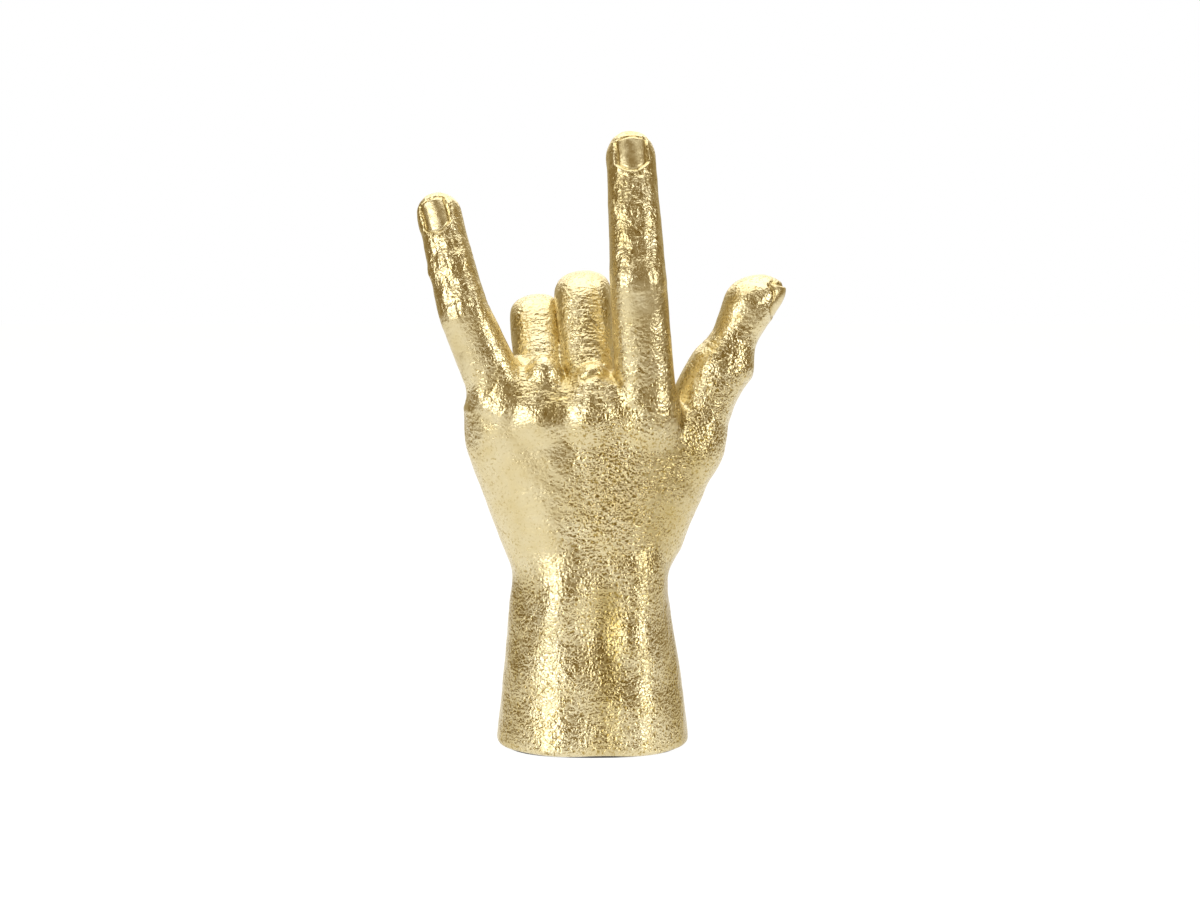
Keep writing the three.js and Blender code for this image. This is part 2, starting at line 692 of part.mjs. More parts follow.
// Each finger starts a glue gap above its joint, is bored for its bar and keeps clear of its neighbour
const cutters = {};
const webCutters = {};
const fingerBodies = {};
for (const [name, finger] of Object.entries(FINGERS)) {
  cutters[name] = solid(fingerSkin(finger, finger.seam, GLUE_GAP));
  webCutters[name] = solid(fingerSkin(finger, finger.seam, WEB_GAP));
  const whole = solid(fingerSkin(finger, finger.seam + GLUE_GAP)).add(nailBody(finger));
  fingerBodies[name] = whole.subtract(barAcross(finger, BARS[name], GLUE_GAP));
}
fingerBodies.middle = fingerBodies.middle.subtract(cutters.index);
fingerBodies.ring = fingerBodies.ring.subtract(cutters.middle);
fingerBodies.little = fingerBodies.little.subtract(cutters.ring);

// Palm: its skin, cut flat for the base, hollowed, bored and cut back to the fingers
const plateTop = FELT_THICKNESS + PLATE_THICKNESS;
const margin = 3 * FOREARM_CELL;
const [baseLittle, baseThumb, baseBack, basePalm] = PALM_STATIONS[0].reaches;
const low = new Vector3(-baseLittle, -baseBack, 0);
const high = new Vector3(baseThumb, basePalm, 0);
for (const { finger, frame, girth } of roots) {
  const end = frame.knuckle.clone().addScaledVector(frame.along, finger.seam);
  for (const place of [frame.knuckle, end]) {
    low.min(place.clone().subScalar(girth(0).across));
    high.max(place.clone().addScalar(girth(0).across));
  }
}
low.subScalar(margin);
high.addScalar(margin);
const rootHeight = Math.min(...roots.map((root) => root.frame.knuckle.z)) - ROOT_BLEND;
const palmSkin = skinWhereZero(
  handDistance,
  linesBetween(low.x, high.x, PALM_CELL),
  linesBetween(low.y, high.y, PALM_CELL),
  [
    ...linesBetween(low.z, FOREARM_LENGTH, FOREARM_CELL),
    ...linesBetween(FOREARM_LENGTH, rootHeight, PALM_CELL),
    ...linesBetween(rootHeight, high.z, ROOT_CELL),
  ],
);
let palm = solid(palmSkin);
palm = palm.subtract(blockAt(low, new Vector3(high.x, high.y, FELT_THICKNESS)));
palm = palm.subtract(forearmPlug(SHELL_WALL, low.z, HOLLOW_TOP, HOLLOW_CAP));
palm = palm.subtract(forearmPlug(SHELL_WALL - PLATE_LEDGE, low.z, plateTop + GLUE_GAP, 0));
for (const [name, finger] of Object.entries(FINGERS)) {
  palm = palm.subtract(barAcross(finger, BARS[name], GLUE_GAP)).subtract(webCutters[name]);
}
[palm] = palm.decompose().sort((one, other) => other.volume() - one.volume()); // without slivers of web

const ballast = forearmPlug(SHELL_WALL + GLUE_GAP, plateTop + GLUE_GAP, HOLLOW_TOP - GLUE_GAP, HOLLOW_CAP);
const plate = forearmPlug(SHELL_WALL - PLATE_LEDGE + GLUE_GAP, FELT_THICKNESS + GLUE_GAP, plateTop, 0);
const felt = forearmPlug(FELT_INSET, 0, FELT_THICKNESS, 0);

const hand = new THREE.Group();
hand.name = 'hand_sculpture';
function addPiece(name, body, finish) {
  const piece = new THREE.Mesh(geometryOf(body), new THREE.MeshStandardMaterial(finish));
  piece.name = name;
  hand.add(piece);
}
addPiece('palm_shell', palm, GOLD);
addPiece('index_finger', fingerBodies.index, GOLD);
addPiece('middle_finger', fingerBodies.middle, GOLD);
addPiece('ring_finger', fingerBodies.ring, GOLD);
addPiece('little_finger', fingerBodies.little, GOLD);
addPiece('thumb', fingerBodies.thumb, GOLD);
addPiece('index_rod', barAcross(INDEX, INDEX_ROD_LENGTH), STEEL);
addPiece('little_rod', barAcross(LITTLE, LITTLE_ROD_LENGTH), STEEL);
addPiece('thumb_rod', barAcross(THUMB, THUMB_ROD_LENGTH), STEEL);
addPiece('middle_pin', barAcross(MIDDLE, MIDDLE_PIN_LENGTH), STEEL);
addPiece('ring_pin', barAcross(RING, RING_PIN_LENGTH), STEEL);
addPiece('ballast_core', ballast, PLASTER);
addPiece('base_plate', plate, BOARD);
addPiece('felt_pad', felt, FELT);

export default hand;
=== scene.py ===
import bpy
import numpy as np
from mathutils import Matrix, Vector


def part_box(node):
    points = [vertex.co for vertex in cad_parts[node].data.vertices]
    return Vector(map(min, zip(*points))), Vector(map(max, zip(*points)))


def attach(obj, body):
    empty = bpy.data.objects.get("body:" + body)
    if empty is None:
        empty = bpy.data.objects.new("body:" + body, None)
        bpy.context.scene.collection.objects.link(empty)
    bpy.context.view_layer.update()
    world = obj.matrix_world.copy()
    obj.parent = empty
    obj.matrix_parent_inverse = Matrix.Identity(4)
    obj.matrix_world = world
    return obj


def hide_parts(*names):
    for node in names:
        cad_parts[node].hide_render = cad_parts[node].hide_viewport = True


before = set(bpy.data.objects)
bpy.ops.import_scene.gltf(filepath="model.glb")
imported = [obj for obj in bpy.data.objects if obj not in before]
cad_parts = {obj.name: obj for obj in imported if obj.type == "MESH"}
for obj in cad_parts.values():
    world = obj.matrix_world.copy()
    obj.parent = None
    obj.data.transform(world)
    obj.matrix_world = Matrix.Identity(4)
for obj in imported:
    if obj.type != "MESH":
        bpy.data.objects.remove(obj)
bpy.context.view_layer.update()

# The hand's skeleton is in millimetres and degrees, with +Z up, its back to -Y and its thumb to +X.
# Meshes, lights and the camera are in metres.
MM = 0.001
TURN = 2 * np.pi

# Forearm and palm: height, then the reach to the little finger's side, the thumb's side, back and palm
PALM_STATIONS = np.array([
    (0, 37.2, 36.4, 28, 29),
    (30, 34, 32.6, 23.4, 25.5),
    (56, 31.8, 28.4, 20, 21),
    (67, 30.8, 28, 20, 19.6),
    (80, 34.8, 29, 20.7, 17),
    (104, 42, 31, 22.4, 10),
    (129, 47.8, 29, 23.4, 6),
])
PALM_CAP = 7  # height of the rounded end above the last station
PALM_SQUARENESS = 2.4
WRIST_SLANT = 10  # by which the hand's back starts lower on the thumb's side
WRIST_SLANT_START = -14
WRIST_SLANT_BREADTH = 34
WRIST_SLANT_HEIGHT = 76
WRIST_SLANT_REACH = 20
BASE_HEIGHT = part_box("palm_shell")[0].z / MM
BASE_ROUNDING = 3

# Muscles and bones under the skin: two ends, and the radius at each
MUSCLES = (
    ((15, 7, 82), (31, 4, 110), (11.5, 10)),  # ball of the thumb
    ((22.5, 2, 82), (37.5, -2, 115), (11, 10.5)),  # first bone of the thumb
    ((-19, 5, 81), (-35.5, -5, 117), (11.5, 10.5)),  # ball of the little finger
    ((26, -6, 100), (30, -8, 118), (8, 7)),  # web of the thumb
    ((-11.5, -16.5, 2), (-10, -12.5, 70), (9.5, 8)),  # ulna
    ((16, -18, 2), (14.5, -12.4, 68), (7, 6.3)),  # radius
)
NO_RADII = (0, 0)
MUSCLE_BLEND = 10
CARPUS_SPREAD = 0.5  # of the knuckles' spread
CARPUS_DEPTH = -9.5
CARPUS_HEIGHT = 85
HAND_BONE_RADII = (9, 8)
HAND_BONE_BLEND = 7
KNUCKLE_RISE = 0.5
KNUCKLE_CAP_RADII = (8, 6.5)
ROOT_BLEND = 6
CREASE_BLEND = 0.8  # where two fingers only touch
WEB_FADE = 9  # along the finger, from the web to the bare finger

# Fingers: depths in finger widths, and lengths along the finger
BACK_DEPTH = 0.44
PAD_DEPTH = 0.46
BACK_SQUARENESS = 2.3
PAD_SQUARENESS = 2.05
FOLD_DEPTH = 0.5  # share of the pad that a full fold takes away
FOLD_LENGTH = 8
FULL_FOLD = 90
BEND_SLACK = 0.6
PAD_PLACE = 0.57  # of a swollen pad, over the first bone
PAD_LENGTH = 9
NECK_PLACE = 10  # of a drawn-in pad, from the first joint
NECK_LENGTH = 6
SWELL_PLACE = 4  # of a swollen back, from the first joint
SWELL_LENGTH = 6.4
LEAST_BEND_LENGTH = 5.5
SWAY_LENGTH = 24
DIVE = 1.2  # by which a skin sinks under its neighbour past the line where the two meet
DIVE_LENGTH = 5
NAIL_LIFT = 0.7
WRINKLE_SPREADS = (1.9, 1.2)  # between the wrinkles over the first and the second joint
JOINT_SWELLINGS = (1.2, 0.3)

# Fineness of the meshes
RING_POINTS = 160
RING_STEP = 0.33
TIP_RINGS = 40
SPINE_STEP = 0.25
PALM_CELL = 0.8
COARSE = 4  # fine cells in a coarse one
CLOSE = 1.6  # coarse cells from the skin within which fine distances are worked out

# Limits that keep divisions safe
LEAST_RADIUS = 0.1
LEAST_SLOPE = 1e-6
LEAST_LENGTH = 1e-12

STEEPEST_STEP = 1.5  # greatest slope of soft_step
RIPPLE_WAVES = 48
RIPPLE_LENGTHS = (0.7, 1.5)  # shortest and longest wave, in wavelengths


def soft_step(value):
    """Rises from 0 to 1 over values from 0 to 1."""
    t = np.clip(value, 0, 1)
    return t * t * (3 - 2 * t)


def soft_step_about_zero(value):
    """Rises from 0 to 1 over values from -0.5 to 0.5."""
    return soft_step(value + 0.5)


def bell(value, width):
    """1 at zero, falling to nearly nothing two widths away."""
    return np.exp(-((value / width) ** 2))


def curve_through(places, values):
    """A smooth curve through values at rising places, as a function."""
    places, values = np.array(places, float), np.array(values, float)
    before = np.maximum(np.arange(len(places)) - 1, 0)
    after = np.minimum(np.arange(len(places)) + 1, len(places) - 1)
    slopes = (values[after] - values[before]) / (places[after] - places[before])

    def at(place):
        i = np.clip(np.searchsorted(places, place) - 1, 0, len(places) - 2)
        span = places[i + 1] - places[i]
        t = np.clip((place - places[i]) / span, 0, 1)
        leave = t * (1 - t) ** 2 * span * slopes[i]
        arrive = t ** 2 * (1 - t) * span * slopes[i + 1]
        return values[i] + (values[i + 1] - values[i]) * soft_step(t) + leave - arrive

    return at


def ripple(points, wavelength, seed):
    """Uneven waves of about one wavelength, with a spread of 1."""
    rng = np.random.default_rng(seed)
    ways = rng.normal(size=(RIPPLE_WAVES, points.shape[1]))
    ways /= np.linalg.norm(ways, axis=1, keepdims=True)
    lengths = wavelength * rng.uniform(*RIPPLE_LENGTHS, (RIPPLE_WAVES, 1))
    starts = rng.uniform(0, TURN, RIPPLE_WAVES)
    waves = np.sin(TURN * points @ (ways / lengths).T + starts)
    return waves.sum(1) / np.sqrt(RIPPLE_WAVES / 2)


class Finger:
    """A finger's middle line, its girth and its directions.

    It starts at its knuckle. Lean, pitch and roll turn it sideways, forwards and about itself, and sway turns
    it sideways past its first joint. Web and join say where along it the palm's web ends and its casting is
    joined. Nail is how far the nail's free edge stays behind the tip. Spreads and swellings are those of the
    skin over each joint, and slants are places of slanting creases, from the first joint.
    """

    def __init__(
        self, node, knuckle, crest, lean, pitch, roll, sway, web, join, bones, bends, widths, tip, nail,
        nail_lift=NAIL_LIFT, spreads=WRINKLE_SPREADS, swellings=JOINT_SWELLINGS, wrinkling=1, crease=0,
        cap=0, pad=0, neck=0, joint_swell=0, tip_rise=0, slants=(),
    ):
        self.node = node
        self.web, self.join = web, join
        self.nail_from_tip, self.nail_lift = nail, nail_lift
        self.spreads, self.swellings = spreads, swellings
        self.wrinkling, self.crease, self.slants = wrinkling, crease, slants
        self.pad_swell, self.neck, self.joint_swell = pad, neck, joint_swell
        self.cap, self.tip, self.tip_rise = cap, tip, tip_rise
        self.knuckle = np.array(knuckle, float)
        self.knuckle_top = self.knuckle + (0, -KNUCKLE_RISE, crest)
        lean, pitch, roll, self.sway = np.radians((lean, pitch, roll, sway))
        level = np.cos(pitch)
        self.along = np.array((np.sin(lean) * level, np.sin(pitch), np.cos(lean) * level))
        back = np.array((0.0, -1.0, 0.0))
        back -= (back @ self.along) * self.along
        back /= np.linalg.norm(back)
        self.back = np.cos(roll) * back + np.sin(roll) * np.cross(self.along, back)
        self.across = np.cross(self.along, self.back)
        ends = np.cumsum(bones)
        self.joints, self.end = ends[:-1], ends[-1]
        self.tip_start = self.end - tip
        stations = [0]
        for start, end in zip((0, *self.joints), (*self.joints, self.tip_start)):
            stations += [(start + end) / 2, end]
        self.width = curve_through(stations, widths)
        self.bends = np.radians(bends)
        self.folds = FOLD_DEPTH * np.clip(np.array(bends) / FULL_FOLD, 0, 1)
        self.draw_line()

    def girth(self, place):
        """Half width, depth to the back and depth to the pad."""
        width = self.width(place)
        folded = sum(fold * bell(place - joint, FOLD_LENGTH) for fold, joint in zip(self.folds, self.joints))
        past = place - self.joints[0]
        pad = width * PAD_DEPTH * (1 - folded) - self.neck * bell(past - NECK_PLACE, NECK_LENGTH)
        pad = pad + self.pad_swell * bell(place - PAD_PLACE * self.joints[0], PAD_LENGTH)
        back = width * BACK_DEPTH + self.joint_swell * bell(past - SWELL_PLACE, SWELL_LENGTH)
        return width / 2, back, pad

    def turn(self, place):
        """How far the finger has bent towards its pad."""
        total = np.zeros_like(place)
        for joint, bend in zip(self.joints, self.bends):
            _, back, pad = self.girth(joint)
            inner = pad if bend > 0 else back
            length = max(STEEPEST_STEP * abs(bend) * (inner + BEND_SLACK), LEAST_BEND_LENGTH)
            total += bend * soft_step_about_zero((place - joint) / length)
        return total

    def directions(self, place):
        """Ways along the finger and out of its back."""
        turn = self.turn(place)[..., None]
        along = np.cos(turn) * self.along - np.sin(turn) * self.back
        return along, np.cross(self.across, along)

    def draw_line(self):
        """Lays out the middle line from the knuckle to the start of the tip."""
        self.places = np.arange(0, self.tip_start + SPINE_STEP, SPINE_STEP)
        middles = (self.places[1:] + self.places[:-1]) / 2
        swayed = soft_step_about_zero((middles - self.joints[0]) / SWAY_LENGTH)
        steps = self.directions(middles)[0] + np.sin(self.sway * swayed)[:, None] * self.across
        self.line = self.knuckle + np.vstack((np.zeros(3), np.cumsum(steps * SPINE_STEP, 0)))

    def centre(self, place):
        """Points of the middle line."""
        return np.stack([np.interp(place, self.places, part) for part in self.line.T], -1)


INDEX = Finger(
    "index_finger", (19.8, -15, 128), crest=1, lean=-4, pitch=-7, roll=4, sway=2, web=13, join=25,
    bones=(50.5, 25.5, 29.5), bends=(18, 5), widths=(23, 21.5, 20.7, 19.8, 19, 18.3, 18.2), tip=9.8, nail=4,
)
MIDDLE = Finger(
    "middle_finger", (-0.4, -16, 129), crest=-2, lean=-5, pitch=27, roll=0, sway=0, web=5, join=25,
    bones=(48.5, 27, 25), bends=(118, 86), widths=(19.6, 20.2, 21.6, 19.6, 18.4, 17.6, 17.2), tip=9, nail=3,
    cap=12, slants=(-21, -18.6, -15.8, -13.6),
)
RING = Finger(
    "ring_finger", (-18.3, -14.5, 128), crest=-2, lean=-6, pitch=35, roll=-4, sway=0, web=5, join=26,
    bones=(44, 25, 24), bends=(116, 84), widths=(18.4, 19.2, 19.8, 18, 17, 16.6, 16.2), tip=8.5, nail=3,
    cap=15.5,
)
LITTLE = Finger(
    "little_finger", (-31.3, -11, 127), crest=2, lean=-23, pitch=-5, roll=-8, sway=6, web=16, join=28,
    bones=(42.5, 18, 27), bends=(15, 5), widths=(23.4, 20.7, 18.7, 17.9, 17.3, 16.6, 16.4), tip=8.5, nail=3.5,
)
THUMB = Finger(
    "thumb", (37.5, -2, 115.5), crest=0, lean=18.5, pitch=2, roll=78, sway=0, web=8, join=19,
    bones=(30, 39), bends=(-7.5,), widths=(23.5, 22.6, 24.4, 19.4, 21.8), tip=13.5, nail=1.5,
    nail_lift=0.2, spreads=(1.6,), swellings=(0.3,), wrinkling=0.4, crease=6.5,
    pad=3, neck=0.8, joint_swell=2, tip_rise=3.2,
)
FINGERS = (INDEX, MIDDLE, RING, LITTLE, THUMB)
HAND_BONES = [
    (
        (CARPUS_SPREAD * finger.knuckle[0], CARPUS_DEPTH, CARPUS_HEIGHT),
        finger.knuckle_top,
        HAND_BONE_RADII,
    )
    for finger in (INDEX, MIDDLE, RING, LITTLE)
]
HAND_BONES += [
    (finger.knuckle_top, finger.knuckle + (0, 0, finger.cap), KNUCKLE_CAP_RADII)
    for finger in FINGERS
    if finger.cap
]


# Distances to the skin of the palm
def smooth_union(a, b, blend):
    """The lesser of two distances, rounded where the two are nearly alike."""
    near = np.maximum(blend - np.abs(a - b), 0) / blend
    return np.minimum(a, b) - near * near * blend / 4


def oval_distance(parts, sizes, power):
    """About how far points are from an oval, by their offsets from its middle."""
    shares = [np.abs(part) / size for part, size in zip(parts, sizes)]
    radius = np.maximum(sum(share ** power for share in shares) ** (1 / power), LEAST_RADIUS)
    slopes = [(share / radius) ** (power - 1) / size for share, size in zip(shares, sizes)]
    return (radius - 1) / np.maximum(np.sqrt(sum(slope ** 2 for slope in slopes)), LEAST_SLOPE)


PALM_REACH = [curve_through(PALM_STATIONS[:, 0], column) for column in PALM_STATIONS[:, 1:].T]


def palm_oval(z, back_z):
    """Middle and half sizes of the forearm or palm at a height, with its back taken at another."""
    little, thumb, back, palm = (reach(height) for reach, height in zip(PALM_REACH, (z, z, back_z, z)))
    return (thumb - little) / 2, (palm - back) / 2, (thumb + little) / 2, (palm + back) / 2


def palm_distance(p):
    """Distance to the forearm and the palm, without muscles and fingers."""
    top = PALM_STATIONS[-1, 0]
    z = np.minimum(p[:, 2], top)
    slant = WRIST_SLANT * soft_step((p[:, 0] - WRIST_SLANT_START) / WRIST_SLANT_BREADTH)
    back_z = z + slant * bell(z - WRIST_SLANT_HEIGHT, WRIST_SLANT_REACH)
    x, y, half_width, half_depth = palm_oval(z, back_z)
    parts = (p[:, 0] - x, p[:, 1] - y, np.maximum(p[:, 2] - top, 0))
    return oval_distance(parts, (half_width, half_depth, PALM_CAP), PALM_SQUARENESS)


def muscle_distance(p, muscle):
    """Distance to a tapered rod with round ends."""
    start, end, radii = (np.array(part, float) for part in muscle)
    line = end - start
    share = np.clip((p - start) @ line / (line @ line), 0, 1)
    radius = radii[0] + share * (radii[1] - radii[0])
    return np.linalg.norm(p - start - share[:, None] * line, axis=1) - radius


def line_distance(p, start, end):
    """Distance to a straight line between two ends."""
    return muscle_distance(p, (start, end, NO_RADII))


def root_distance(p, finger):
    """Distance to a finger's first stretch, and the place along the finger."""
    offset = p - finger.knuckle
    place, height = offset @ finger.along, offset @ finger.back
    half, back, pad = finger.girth(np.clip(place, 0, finger.join + DIVE_LENGTH))
    sunk = DIVE * np.clip((place - finger.join) / DIVE_LENGTH, 0, 1) ** 2
    parts = (offset @ finger.across, height, np.minimum(place, 0))
    sizes = (half - sunk, np.where(height > 0, back, pad) - sunk, half)
    power = np.where(height > 0, BACK_SQUARENESS, PAD_SQUARENESS)
    past_end = place - finger.join - DIVE_LENGTH
    return np.maximum(oval_distance(parts, sizes, power), past_end), place


def hand_distance(p):
    """Distance to the skin of forearm, palm and finger roots, cut flat at the base."""
    distance = palm_distance(p)
    for muscle in MUSCLES:
        distance = smooth_union(distance, muscle_distance(p, muscle), MUSCLE_BLEND)
    for bone in HAND_BONES:
        distance = smooth_union(distance, muscle_distance(p, bone), HAND_BONE_BLEND)
    for finger in FINGERS:
        root, place = root_distance(p, finger)
        bare = soft_step((place - finger.web) / WEB_FADE)
        distance = smooth_union(distance, root, ROOT_BLEND + (CREASE_BLEND - ROOT_BLEND) * bare)
    return -smooth_union(-distance, p[:, 2] - BASE_HEIGHT, BASE_ROUNDING)


# How deeply the leaf is crinkled at rising heights
GRAIN_HEIGHTS = (0, 62, 80, 116, 128, 240)
GRAIN_DEPTHS = (0.72, 0.72, 0.64, 0.6, 0.53, 0.5)
# Places where it is crinkled differently: two ends, size and by how much
GRAIN_PLACES = (
    ((-24, -22, 86), (-28, -22, 112), 17, -0.35),  # back of the hand towards the little finger
    ((3, -23, 86), (8, -23, 120), 11, 0.55),  # middle of the hand's back
    ((18, -28, 169), (18, -28, 173), 8, -0.35),  # first bone of the index finger, below its joint
    ((-49, -18, 150), (-52, -18, 161), 8, -0.35),  # first bone of the little finger
    ((41, -12, 117), (52, -10, 146), 10, 0.28),  # thumb
)
# Places where shade is painted into the leaf's colour, in grooves, between fingers and on the flanks: two
# ends, size and how dark
PAINTED_SHADE_PLACES = (
    ((7, -22, 5), (5, -21, 60), 7, 0.65),  # groove between the bones of the forearm
    ((32, -8, 5), (28, -6, 62), 11, 0.78),  # thumb's side of the forearm
    ((-31, -12, 5), (-28, -8, 60), 9, 0.5),  # little finger's side of the forearm
    ((24, -18, 84), (30, -14, 112), 16, 0.5),  # thumb's side of the hand's back
    ((4, -24, 92), (6, -24, 120), 13, 0.22),  # middle of the hand's back
    ((-24, -22, 82), (-32, -20, 118), 16, 0.12),  # little finger's side of the hand's back
    ((-15.6, -23, 129), (-16, -21, 136), 5, 0.5),  # knuckle of the ring finger
    ((-9, -20, 134), (-9.5, -16, 146), 3.5, 0.6),  # between the ring and the middle finger
    ((-28, -18, 130), (-28, -15, 140), 4.5, 0.4),  # between the little and the ring finger
    ((12.5, -21, 128), (14, -20, 148), 4.5, 0.4),  # between the middle and the index finger
    ((29, -20, 138), (27, -23, 170), 4.5, 0.5),  # thumb's side of the index finger
    ((10, -27, 182), (9, -21, 212), 4.5, 0.3),  # other side of the index finger
    ((43, -12, 120), (53, -10, 145), 9, 0.2),  # thumb
    ((-50, -16, 150), (-58, -10, 190), 9, 0.2),  # little finger
)
# Stretches over which the skin lies in fine folds: two ends and the reach
FOLDED_PLACES = (
    ((-1, -24, 137), (-4, -10, 172), 11),  # first bone of the middle finger
    ((-20, -22, 136), (-24, -3, 166), 10),  # first bone of the ring finger
)
FOLDS_END = 1.6  # in reaches, where the folds have faded out


def grain(points):
    """How deeply the leaf is crinkled."""
    crinkled = curve_through(GRAIN_HEIGHTS, GRAIN_DEPTHS)(points[:, 2])
    for start, end, size, more in GRAIN_PLACES:
        crinkled = crinkled + more * bell(line_distance(points, start, end), size)
    return crinkled


def painted_shade(points):
    """How much shade is painted into the leaf's colour."""
    dark = np.zeros(len(points))
    for start, end, size, depth in PAINTED_SHADE_PLACES:
        dark = np.maximum(dark, depth * bell(line_distance(points, start, end), size))
    return dark


def folds(points):
    """How deeply the skin is folded crosswise."""
    depth = np.zeros(len(points))
    for start, end, reach in FOLDED_PLACES:
        depth = np.maximum(depth, soft_step(FOLDS_END - line_distance(points, start, end) / reach))
    return depth


# Creases of the palm's skin: which side they lie on, their run over x and z, their depth and breadth
BACK, PALM = -1, 1
CREASES = (
    (BACK, ((-4, 141.6), (1, 143.4), (6, 142.8), (9, 140)), 0.8, 1.1),  # under the middle finger
    (BACK, ((-39, 136), (-36.5, 140), (-35, 145)), 0.35, 1.4),  # beside the little finger
    (PALM, ((-24, 74), (-8, 72), (8, 72), (23, 74.5)), 0.5, 0.8),  # wrist
    (PALM, ((-20, 69), (-6, 67.6), (8, 67.8), (20, 69.5)), 0.35, 0.7),  # wrist, a little lower
    (PALM, ((0, 78), (-1, 88), (4, 100), (14, 110), (24, 115)), 0.8, 1.0),  # round the ball of the thumb
    (PALM, ((-10, 90), (-4, 102), (6, 112)), 0.5, 0.8),  # middle of the palm
)
CREASE_POINTS = 80
CREASE_REACH = 4  # breadths within which a crease is felt
CREASE_FACING = 0.4  # how squarely the skin faces the crease's side where it is fully deep


def crease_relief(points, normals):
    """Depth of the creases in the palm's skin."""
    relief = np.zeros(len(points))
    flat = points[:, (0, 2)]
    for side, run, depth, breadth in CREASES:
        stops = np.arange(len(run))
        along = np.linspace(0, stops[-1], CREASE_POINTS)
        line = np.stack([curve_through(stops, part)(along) for part in np.transpose(run)], 1)
        low = line.min(0) - CREASE_REACH * breadth
        high = line.max(0) + CREASE_REACH * breadth
        facing = side * normals[:, 1]
        near = np.nonzero(((flat > low) & (flat < high)).all(1) & (facing > 0))[0]
        nearest = np.linalg.norm(flat[near, None] - line, axis=2).min(1)
        relief[near] -= depth * bell(nearest, breadth) * soft_step(facing[near] / CREASE_FACING)
    return relief


# Meshes
SQUARE = ((0, 0), (1, 0), (1, 1), (0, 1))
SMOOTHINGS = 4
PULLS = 2  # towards the skin after each smoothing
PROBE = 1 / 16  # of a cell, over which a slope is measured
LEAST_STEEPNESS = 0.2
GREATEST_PULL = 0.5  # of a cell


def faces_normals(points, faces):
    """Normals of points, from the faces round them."""
    corners = points[faces]
    normals = np.cross(corners[:, 2] - corners[:, 0], corners[:, 3] - corners[:, 1])
    total = np.zeros_like(points)
    for corner in range(4):
        for part in range(3):
            total[:, part] += np.bincount(faces[:, corner], normals[:, part], len(points))
    return total / np.maximum(np.linalg.norm(total, axis=1, keepdims=True), LEAST_LENGTH)


def distances_on_grid(distance, low, high, cell):
    """Distances at the corners of cells, fine near the skin and coarse elsewhere."""
    counts = [int(np.ceil((b - a) / (cell * COARSE))) * COARSE + 1 for a, b in zip(low, high)]
    rows = [a + cell * np.arange(count) for a, count in zip(low, counts)]
    grid = np.stack(np.meshgrid(*(row[::COARSE] for row in rows), indexing="ij"), -1)
    coarse = distance(grid.reshape(-1, 3)).reshape(grid.shape[:3])
    nearest = [(np.arange(count) + COARSE // 2) // COARSE for count in counts]
    values = coarse[np.ix_(*nearest)]
    close = np.nonzero(np.abs(values) < CLOSE * COARSE * cell)
    values[close] = distance(np.stack([row[i] for row, i in zip(rows, close)], 1))
    return values


def skin_points(values, inside):
    """Points in the crossed cells, counted in cells, and the number of each cell's point."""
    cells = np.array(values.shape) - 1
    total, crossings = np.zeros((*cells, 3)), np.zeros(cells)
    for axis in range(3):
        others = [other for other in range(3) if other != axis]
        for corner in SQUARE:
            start = np.zeros(3, int)
            start[others] = corner
            end = start.copy()
            end[axis] = 1
            first = tuple(slice(s, s + n) for s, n in zip(start, cells))
            second = tuple(slice(s, s + n) for s, n in zip(end, cells))
            crossed = inside[first] != inside[second]
            spans = np.where(crossed, values[first] - values[second], 1)
            total[..., axis] += np.where(crossed, values[first] / spans, 0)
            for other, offset in zip(others, corner):
                total[..., other] += crossed * offset
            crossings += crossed
    used = np.nonzero(crossings)
    number = np.full(cells, -1)
    number[used] = np.arange(len(used[0]))
    return np.stack(used, 1) + total[used] / crossings[used][:, None], number


def skin_faces(inside, number):
    """Faces between the points of the four cells round each crossed edge."""
    faces = []
    ways = np.eye(3, dtype=int)
    for axis in range(3):
        u, v = ways[(axis + 1) % 3], ways[(axis + 2) % 3]
        first = tuple(slice(1, -1) for _ in range(3))
        second = tuple(slice(2, None) if part == axis else slice(1, -1) for part in range(3))
        edges = np.argwhere(inside[first] != inside[second]) + 1
        quads = np.stack([number[tuple((edges - a * u - b * v).T)] for a, b in SQUARE], 1)
        outwards = inside[tuple(edges.T)]
        faces.append(np.where(outwards[:, None], quads, quads[:, ::-1]))
    return np.concatenate(faces)


def skin_where_zero(distance, low, high, cell):
    """Closed skin of four-sided faces where a distance is zero: one point in each cell that it crosses."""
    values = distances_on_grid(distance, low, high, cell)
    inside = values < 0
    points, number = skin_points(values, inside)
    return np.array(low) + cell * points, skin_faces(inside, number)


def even_out(points, faces, distance, cell):
    """Spreads the points evenly and pulls them onto the skin."""
    sides = np.concatenate([faces[:, (i, (i + 1) % 4)] for i in range(4)])
    shares = np.bincount(sides[:, 0], minlength=len(points))[:, None]
    probe = PROBE * cell
    pull = GREATEST_PULL * cell
    for turn in range(SMOOTHINGS):
        if turn < SMOOTHINGS - 1:
            middle = np.stack([np.bincount(sides[:, 0], points[sides[:, 1], part]) for part in range(3)], 1)
            points = (points + middle / shares) / 2
        for _ in range(PULLS):
            here = distance(points)
            slope = np.stack([distance(points + probe * step) - here for step in np.eye(3)], 1) / probe
            steep = np.maximum((slope ** 2).sum(1), LEAST_STEEPNESS)
            points = points - slope * np.clip(here / steep, -pull, pull)[:, None]
    return points


def make_piece(name, points, faces, painted_crease_shade, polish):
    """A mesh in metres that carries the leaf's values at its points."""
    mesh = bpy.data.meshes.new(name)
    mesh.from_pydata((points * MM).tolist(), [], faces)
    mesh.shade_smooth()
    leaf = {
        # painted shade in creases and wrinkles, by their depth
        "painted_crease_shade": painted_crease_shade,
        "grain": grain(points) * (1 - polish),
        "folds": folds(points),
        # painted shade over the dark places
        "painted_shade": painted_shade(points),
    }
    for label, values in leaf.items():
        mesh.attributes.new(label, "FLOAT", "POINT").data.foreach_set("value", values.astype(np.float32))
    piece = bpy.data.objects.new(name, mesh)
    bpy.context.scene.collection.objects.link(piece)
    return piece


